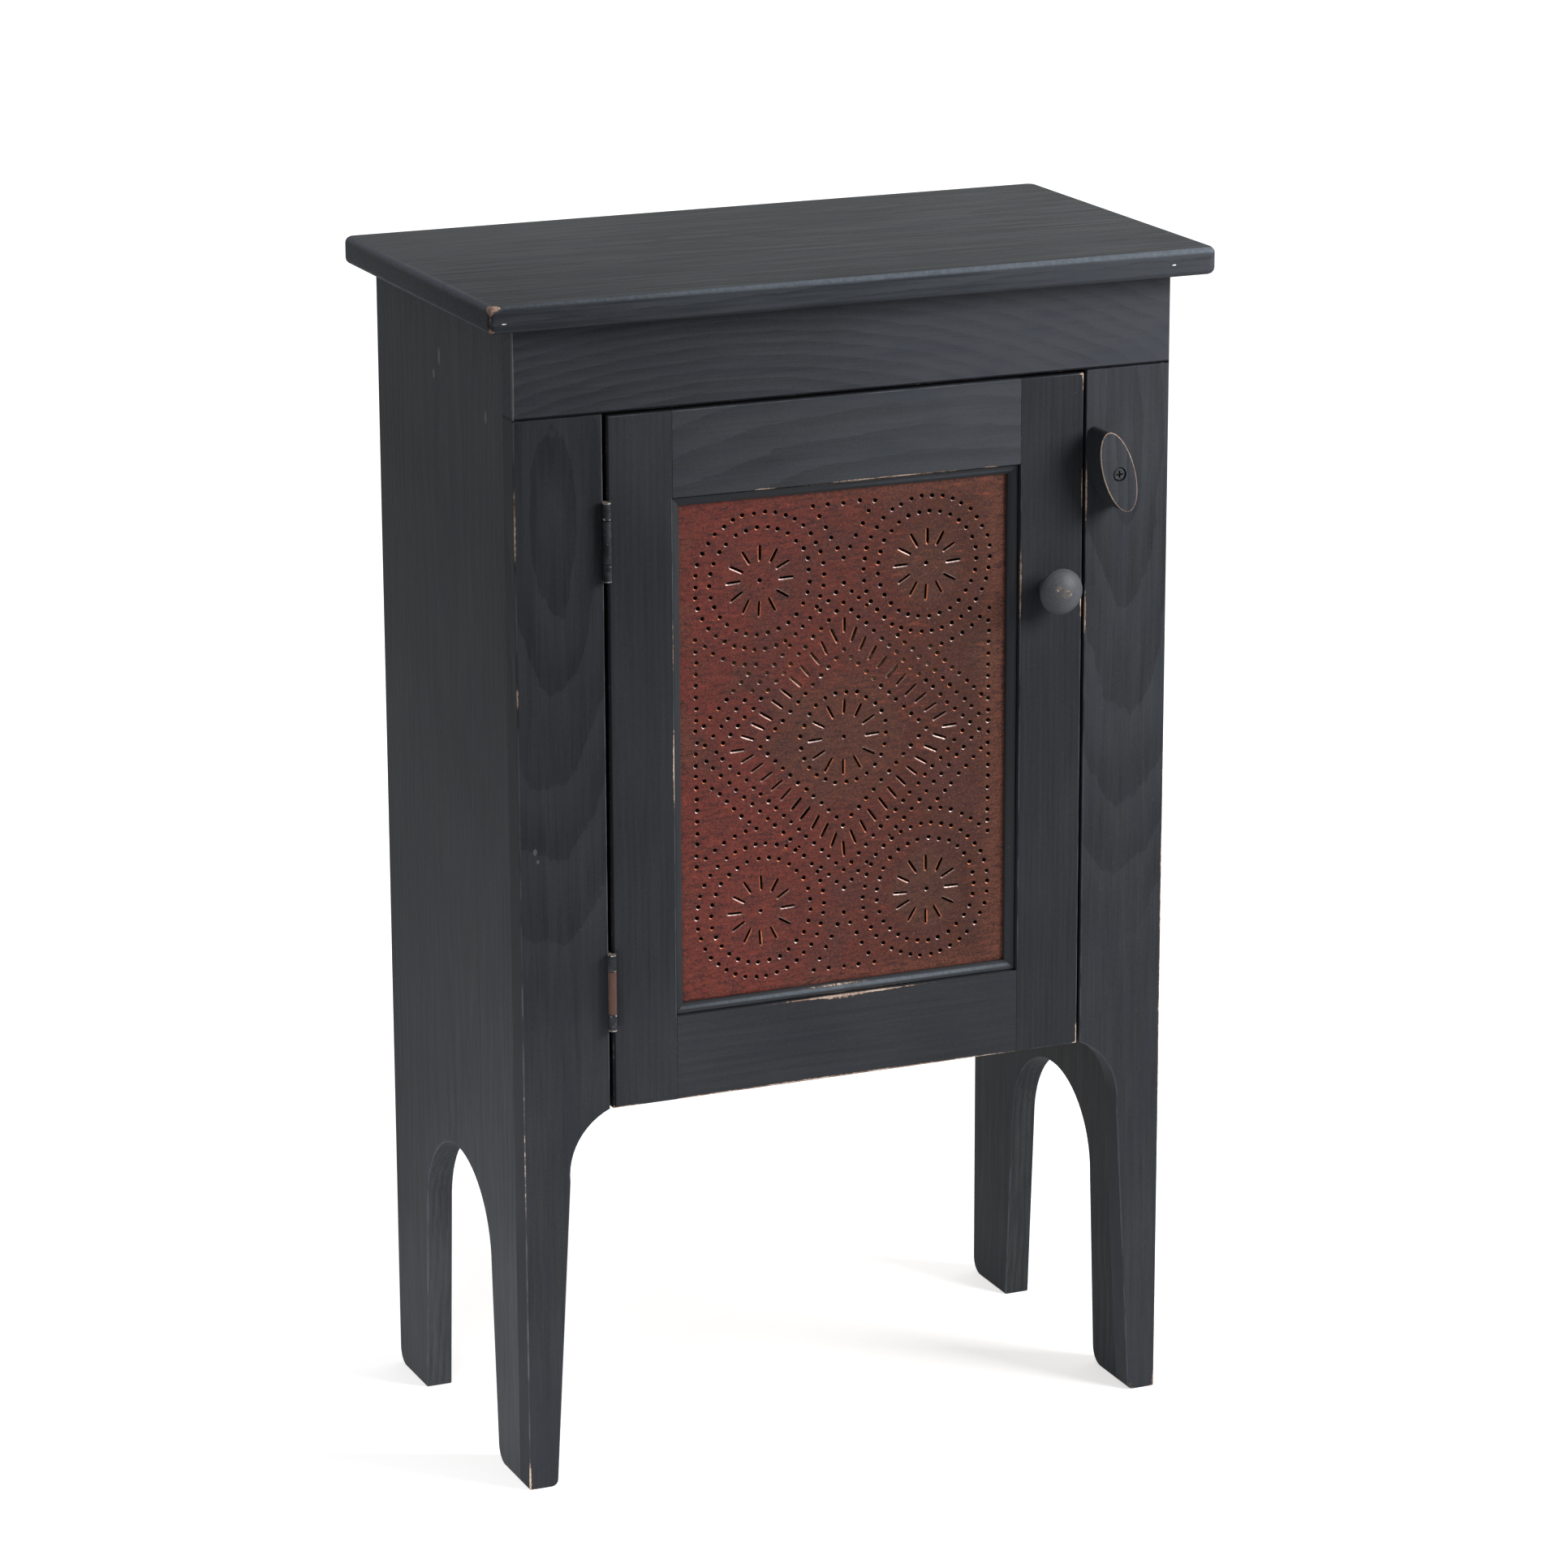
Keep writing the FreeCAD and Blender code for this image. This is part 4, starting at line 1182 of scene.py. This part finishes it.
sheet.location = (0, tin_low.y, 0)
bpy.ops.object.transform_apply(location=True, rotation=True, scale=True)
for name in ("sloping", "steep", "silvery"):
    sheet.data.attributes.new(name, "FLOAT", "POINT")
print("flat sheet:", len(sheet.data.polygons), "faces with", len(marks), "openings")

# %% [markdown]
# Each mark gets its own copy, which carries along how silvery its bare metal is: for a slot it
# follows the lean, a painted reflection, and for a dot it is drawn at random. Joined and merged
# at the rims, sheet and copies are one skin. Its faces are turned outwards before Solidify
# gives it the thickness of tin, because that modifier grows away from the front.

# %% Punched sheet
copies = []
for mark, placed, silvery in marks:
    copy = bpy.data.objects.new(mark.name + "_copy", mark.data.copy())
    copy.matrix_world = placed
    bpy.context.collection.objects.link(copy)
    painted_highlight = copy.data.attributes.new("silvery", "FLOAT", "POINT")
    for value in painted_highlight.data:
        value.value = silvery
    copies.append(copy)
bpy.context.view_layer.update()
only(sheet)
for copy in copies:
    copy.select_set(True)
bpy.ops.object.join()
sheet.name = "punched_sheet"
bpy.data.objects.remove(dimple)
bpy.data.objects.remove(gash)
edit()
bpy.ops.mesh.remove_doubles(threshold=0.02 * MM)
bpy.ops.mesh.normals_make_consistent(inside=False)
leave_edit()
towards_front = sum(face.normal.y * face.area for face in sheet.data.polygons)
if towards_front > 0:
    edit()
    bpy.ops.mesh.flip_normals()
    leave_edit()
wall = sheet.modifiers.new("thickness", "SOLIDIFY")
wall.thickness = tin_thickness
wall.offset = -1
bpy.ops.object.modifier_apply(modifier=wall.name)
print("punched sheet:", len(sheet.data.polygons), "faces")

# %% [markdown]
# The tin was glazed rust red before it was struck. The glaze has browned towards the right and
# darkened in streaks along the way the sheet was rolled, and it is olive where the panel was
# handled. Each blow bared the metal on a flank of its mark, and the bare metal is put on the
# sloping lower flank that faces the lamps, so it is partly a painted highlight. A slot's metal
# is the more silvery the more level it lies, a painted reflection of the light overhead. The
# hole stays dark, and the steep upper flank is darkened as painted shade. The attributes that
# the marks brought along tell the shader where that is. The places handled are given in
# millimetres from the panel's middle: right, up, width, height and strength.


# %% Glaze over struck tin
GLAZE_RED = (0.108, 0.0212, 0.0150)
GLAZE_BROWN = (0.041, 0.0144, 0.0074)
GLAZE_PATCH = (0.060, 0.0200, 0.0150)
GLAZE_OLIVE = (0.058, 0.0300, 0.0175)
GLAZE_WARM = (0.142, 0.049, 0.029)
GLAZE_DARK = (0.024, 0.009, 0.009)
GLAZE_GLOW = (0.26, 0.058, 0.032)
GLAZE_GLINT = (0.25, 0.112, 0.096)
COPPERY = (0.42, 0.125, 0.055)
PINKISH = (0.185, 0.090, 0.070)
SILVERY = (0.42, 0.33, 0.31)
HOLE_SHADE = (0.010, 0.005, 0.004)
handled_places = [
    (0, 0, 75, 75, 1.0),
    (108, 50, 26, 24, 1.0),
    (62, 116, 42, 42, 1.0),
    (62, -116, 42, 42, 0.9),
    (-62, 116, 42, 42, 0.45),
    (-62, -116, 42, 42, 0.45),
]


def glazed_tin():
    """Rust-red glaze over bright sheet, browner to the right, bare where it was struck."""
    finish = Finish("glazed_tin", roughness=0.45, specular=0.14)
    place = finish.place
    named = place.parts()
    x, z = named["x"], named["z"]
    across = x.rise(tin_low.x + 25 * MM, tin_high.x)
    patches = place.noise(24, 3.0, 0.6, 4.0)
    glaze = across.tint(GLAZE_RED, GLAZE_BROWN)
    glaze = (patches.rise(0.46, 0.66) * 0.8).tint(glaze, GLAZE_PATCH)

    heart = finish.spots([
        ((right, tin_front, tin_middle / MM + up), (wide, 30, high), strength)
        for right, up, wide, high, strength in handled_places
    ])
    olive = (heart + (patches - 0.5) * 1.2).rise(0.25, 0.9)
    glaze = (olive * 0.45).tint(glaze, GLAZE_OLIVE)
    beside_rim = x.absolute().rise(0.095, 0.122).most((z - tin_middle).absolute().rise(0.158, 0.178))
    warm = beside_rim * (patches + across * 0.35).rise(0.42, 0.75)
    glaze = (warm * 0.55).tint(glaze, GLAZE_WARM)

    wavy = place.stretched(0.22, 1, 1).noise(360, 5.0, 0.72, 9.0)
    grainy = place.stretched(0.6, 1, 1).noise(900, 3.0, 0.75, 11.0)
    streak = wavy.rise(0.47, 0.64) * 0.55 + grainy.rise(0.43, 0.66) * 0.8
    glaze = streak.tint(glaze, GLAZE_DARK)
    glow = wavy.rise(0.46, 0.34) * patches.rise(0.54, 0.40)
    glaze = (glow * 0.3).tint(glaze, GLAZE_GLOW)
    glint = place.noise(1000, 3.0, 0.75, 17.0).rise(0.53, 0.70)
    glaze = (glint * 0.38).tint(glaze, GLAZE_GLINT)

    # The bare metal on the sloping flank, which faces the lamps, is partly a painted highlight.
    wall = finish.attribute("sloping").rise(0.06, 0.30)
    silvery = finish.attribute("silvery")
    rubbed = place.noise(700, 2.0, 0.5, 13.0)
    metal = silvery.rise(0.0, 0.4).tint(COPPERY, PINKISH)
    metal = (silvery + (rubbed - 0.5) * 0.5).rise(0.42, 0.98).tint(metal, SILVERY)
    colour = (wall * rubbed.rise(0.22, 0.50)).tint(glaze, metal)
    # Painted shade: the steep upper flank of each mark is darkened.
    colour = (finish.attribute("steep").rise(0.05, 0.4) * 0.9).tint(colour, HOLE_SHADE)
    finish.feed(
        Base_Color=colour,
        Metallic=0.1 + wall * (0.15 + silvery * 0.5),
        Roughness=0.46 + (wavy - 0.5) * 0.3 + (grainy - 0.5) * 0.2 - wall * 0.08,
    )
    beaten = place.noise(75, 2.0, 0.5, 15.0)
    finish.bump(wavy * 0.12 + grainy * 0.06 + patches * 1.2 + beaten * 0.9, 0.4 * MM)
    return finish.material


finish_piece(sheet, "door", glazed_tin(), ["tin_panel"])
print("sheet glazed, handled at", len(handled_places), "places")

# %% [markdown]
# The knob and the turn button are small turned and sawn pieces that are handled every day, so
# their rims are rubbed the most. Both keep the CAD's shape, with softened rims.


# %% Knob and turn button
knob_low, knob_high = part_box("door_knob")
knob = copy_of("door_knob", "turned_knob")
ease(knob, 0.5 * MM, lambda place: place.y < knob_high.y - 4 * MM, shallowest=20)
knob_front = (152, knob_low.y / MM, 603)
knob_rubs = [(knob_front, (8, 6, 8), 1.45), ((147, -143, 607), (6, 5, 5), 1.5)]
knob_grain = Grain("y", "x", (150, -100, 606), 0.02, 2.6, 0.5, seed=40.0)
knob_paint = painted("knob", knob_grain, rubs=knob_rubs, tone=1.5, figure=0.2, gloss=0.25)
finish_piece(knob, "door", knob_paint, ["door_knob"])

button_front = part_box("turn_button")[0].y
button = copy_of("turn_button", "oval_button")
screw_low, screw_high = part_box("turn_button_screw")
screw_place = (screw_low + screw_high) / 2


def button_rim(place):
    """The front rim, without the edge of the screw's hole."""
    from_screw = math.hypot(place.x - screw_place.x, place.z - screw_place.z)
    return place.y < button_front + tiny and from_screw > 8 * MM


ease(button, 1.0 * MM, button_rim, shallowest=60)
button_grain = Grain("z", "x", (300, 100, 683), 0.0, 3.2, 0.5, seed=43.0)
button_rubs = [((192, button_front / MM, 683), (60, 1.5, 60), 1.05)]
button_paint = painted("button", button_grain, rubs=button_rubs, tone=1.3, figure=0.3)
finish_piece(button, "button", button_paint, ["turn_button"])
print("knob and button rubbed")

# %% [markdown]
# Behind the paint the cupboard is bare pine: back, bottom, shelf, cleats and the strips that
# hold the tin. Their shapes are right as they come, so they only get the finish, each with
# its own cut of the grain.

# %% Bare pine inside
bare_boards = {
    "back_panel": Grain("z", "x", (40, 300, 500), 0.09, 8.0, 0.4, seed=50.0),
    "case_bottom": Grain("x", "y", (0, 20, 200), 0.05, 6.5, 0.5, seed=53.0),
    "inner_shelf": Grain("x", "y", (-60, 10, 480), 0.06, 6.0, 0.5, seed=56.0),
    "shelf_cleats": Grain("y", "z", (0, 0, 600), 0.0, 4.5, seed=59.0),
    "top_cleats": Grain("y", "z", (0, 0, 900), 0.0, 4.5, seed=62.0),
    "door_stop": Grain("x", "z", (0, -60, 700), 0.0, 4.5, seed=65.0),
    "retainer_top": Grain("x", "z", (0, -60, 750), 0.0, 4.0, seed=68.0),
    "retainer_bottom": Grain("x", "z", (0, -60, 400), 0.0, 4.0, seed=71.0),
    "retainer_left": Grain("z", "x", (0, -60, 500), 0.0, 4.0, seed=74.0),
    "retainer_right": Grain("z", "x", (0, -60, 500), 0.0, 4.0, seed=77.0),
    "frame_dowels": Grain("z", "x", (0, -60, 500), 0.0, 4.0, seed=80.0),
}
for name, grain in bare_boards.items():
    give(nodes[name], bare_pine(name, grain))
print(len(bare_boards), "nodes in bare pine")

# %% [markdown]
# The hinges were painted over with the door. A hinge leaf is flat iron rolled round the pin,
# and the paint chips where its knuckles rub, so the chips are bound to heights: the ends of
# the hinge and the rims beside the dark joint between two knuckles. The leaves are the CAD's
# own, which show little more than the knuckles, and only get this finish.


# %% Painted iron
IRON_DARK = (0.012, 0.013, 0.015)
IRON_LIGHT = (0.034, 0.036, 0.041)
COPPER_WASH = (0.082, 0.044, 0.036)
BRIGHT_IRON = (0.42, 0.36, 0.32)
KNUCKLE_GAP = (0.004, 0.004, 0.004)
hinge_boxes = [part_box(name) for name in ("lower_frame_leaf", "upper_frame_leaf")]
hinge_heights = [(low.z + high.z) / 2 for low, high in hinge_boxes]
hinge_end = 26.8 * MM
knuckle_joint = 14.9 * MM
knuckle_rim = 16.0 * MM


def painted_iron(name, copper=0.0):
    """Paint over an iron leaf, chipped to bright metal and, where wanted, to a copper wash."""
    finish = Finish("painted_iron_" + name, roughness=0.45, specular=0.05)
    place = finish.place
    cloud = place.noise(160, 3.0, 0.6, 3.0)
    chips = place.stretched(1, 1, 0.6).noise(420, 4.0, 0.7, 6.0)
    bare = chips.rise(0.64, 0.68)
    height = place.parts()["z"]
    colour = cloud.rise(0.3, 0.7).tint(IRON_DARK, IRON_LIGHT)
    for hinge_height in hinge_heights:
        from_middle = (height - hinge_height).absolute()
        at_end = (from_middle - hinge_end).absolute().rise(0.7 * MM, 0.3 * MM)
        beside_joint = (from_middle - knuckle_rim).absolute().rise(0.9 * MM, 0.4 * MM)
        bare = bare.most(at_end * chips.rise(0.40, 0.52)).most(beside_joint * chips.rise(0.53, 0.60))
        joint = (from_middle - knuckle_joint).absolute().rise(0.5 * MM, 0.25 * MM)
        colour = (joint * 0.85).tint(colour, KNUCKLE_GAP)
    washed = cloud.rise(0.62 - copper * 0.4, 0.72 - copper * 0.4) * copper
    colour = washed.tint(colour, COPPER_WASH)
    colour = (bare * 0.75).tint(colour, BRIGHT_IRON)
    finish.feed(Base_Color=colour, Metallic=bare * 0.6, Roughness=0.46 + (cloud - 0.5) * 0.3)
    finish.bump(cloud * 0.6 - bare, 0.1 * MM)
    return finish.material


copper_shares = {"lower_frame_leaf": 0.2, "lower_door_leaf": 0.9}
for name in sorted(nodes):
    if name.endswith(("_leaf", "_pins")):
        give(nodes[name], painted_iron(name, copper_shares.get(name, 0.0)))
print("hinges painted at heights", [round(height, 4) for height in hinge_heights])

# %% [markdown]
# The screws and nails are plain steel, dulled with age. The turn button's screw is the one
# that shows from the front: it was painted over with the rest, and its cross recess is coloured
# black. The cross is worked out from the distance to the screw's middle, sideways and upwards.


# %% Steel
STEEL_CLEAN = (0.36, 0.35, 0.34)
STEEL_DULLED = (0.16, 0.14, 0.12)
SCREW_PAINT = (0.020, 0.021, 0.024)
SCREW_WORN = (0.070, 0.070, 0.072)
CROSS_BLACK = (0.002, 0.002, 0.002)


def dull_steel():
    finish = Finish("dull_steel", roughness=0.4, specular=0.5, metallic=0.85)
    cloud = finish.place.noise(500, 3.0, 0.6, 3.0)
    colour = cloud.rise(0.35, 0.7).tint(STEEL_CLEAN, STEEL_DULLED)
    finish.feed(Base_Color=colour, Roughness=0.38 + (cloud - 0.5) * 0.4)
    finish.bump(cloud, 0.06 * MM)
    return finish.material


def blackened_steel():
    """A painted screw head, coloured black in its cross recess."""
    finish = Finish("blackened_steel", roughness=0.5, specular=0.12)
    cloud = finish.place.noise(700, 3.0, 0.6, 8.0)
    colour = cloud.rise(0.5, 0.75).tint(SCREW_PAINT, SCREW_WORN)
    named = finish.place.parts()
    beside = (named["x"] - screw_place.x).absolute()
    above = (named["z"] - screw_place.z).absolute()
    in_slot = beside.least(above).rise(0.75 * MM, 0.5 * MM)
    in_cross = in_slot * beside.most(above).rise(2.5 * MM, 2.2 * MM)
    colour = in_cross.tint(colour, CROSS_BLACK)
    finish.feed(Base_Color=colour, Roughness=0.45 + (cloud - 0.5) * 0.4)
    finish.bump(cloud, 0.06 * MM)
    return finish.material


steel = dull_steel()
for name in sorted(nodes):
    if name.endswith(("_screw", "_screws", "_nails", "_brads")):
        give(nodes[name], steel)
give(nodes["turn_button_screw"], blackened_steel())
print("screws and nails finished")
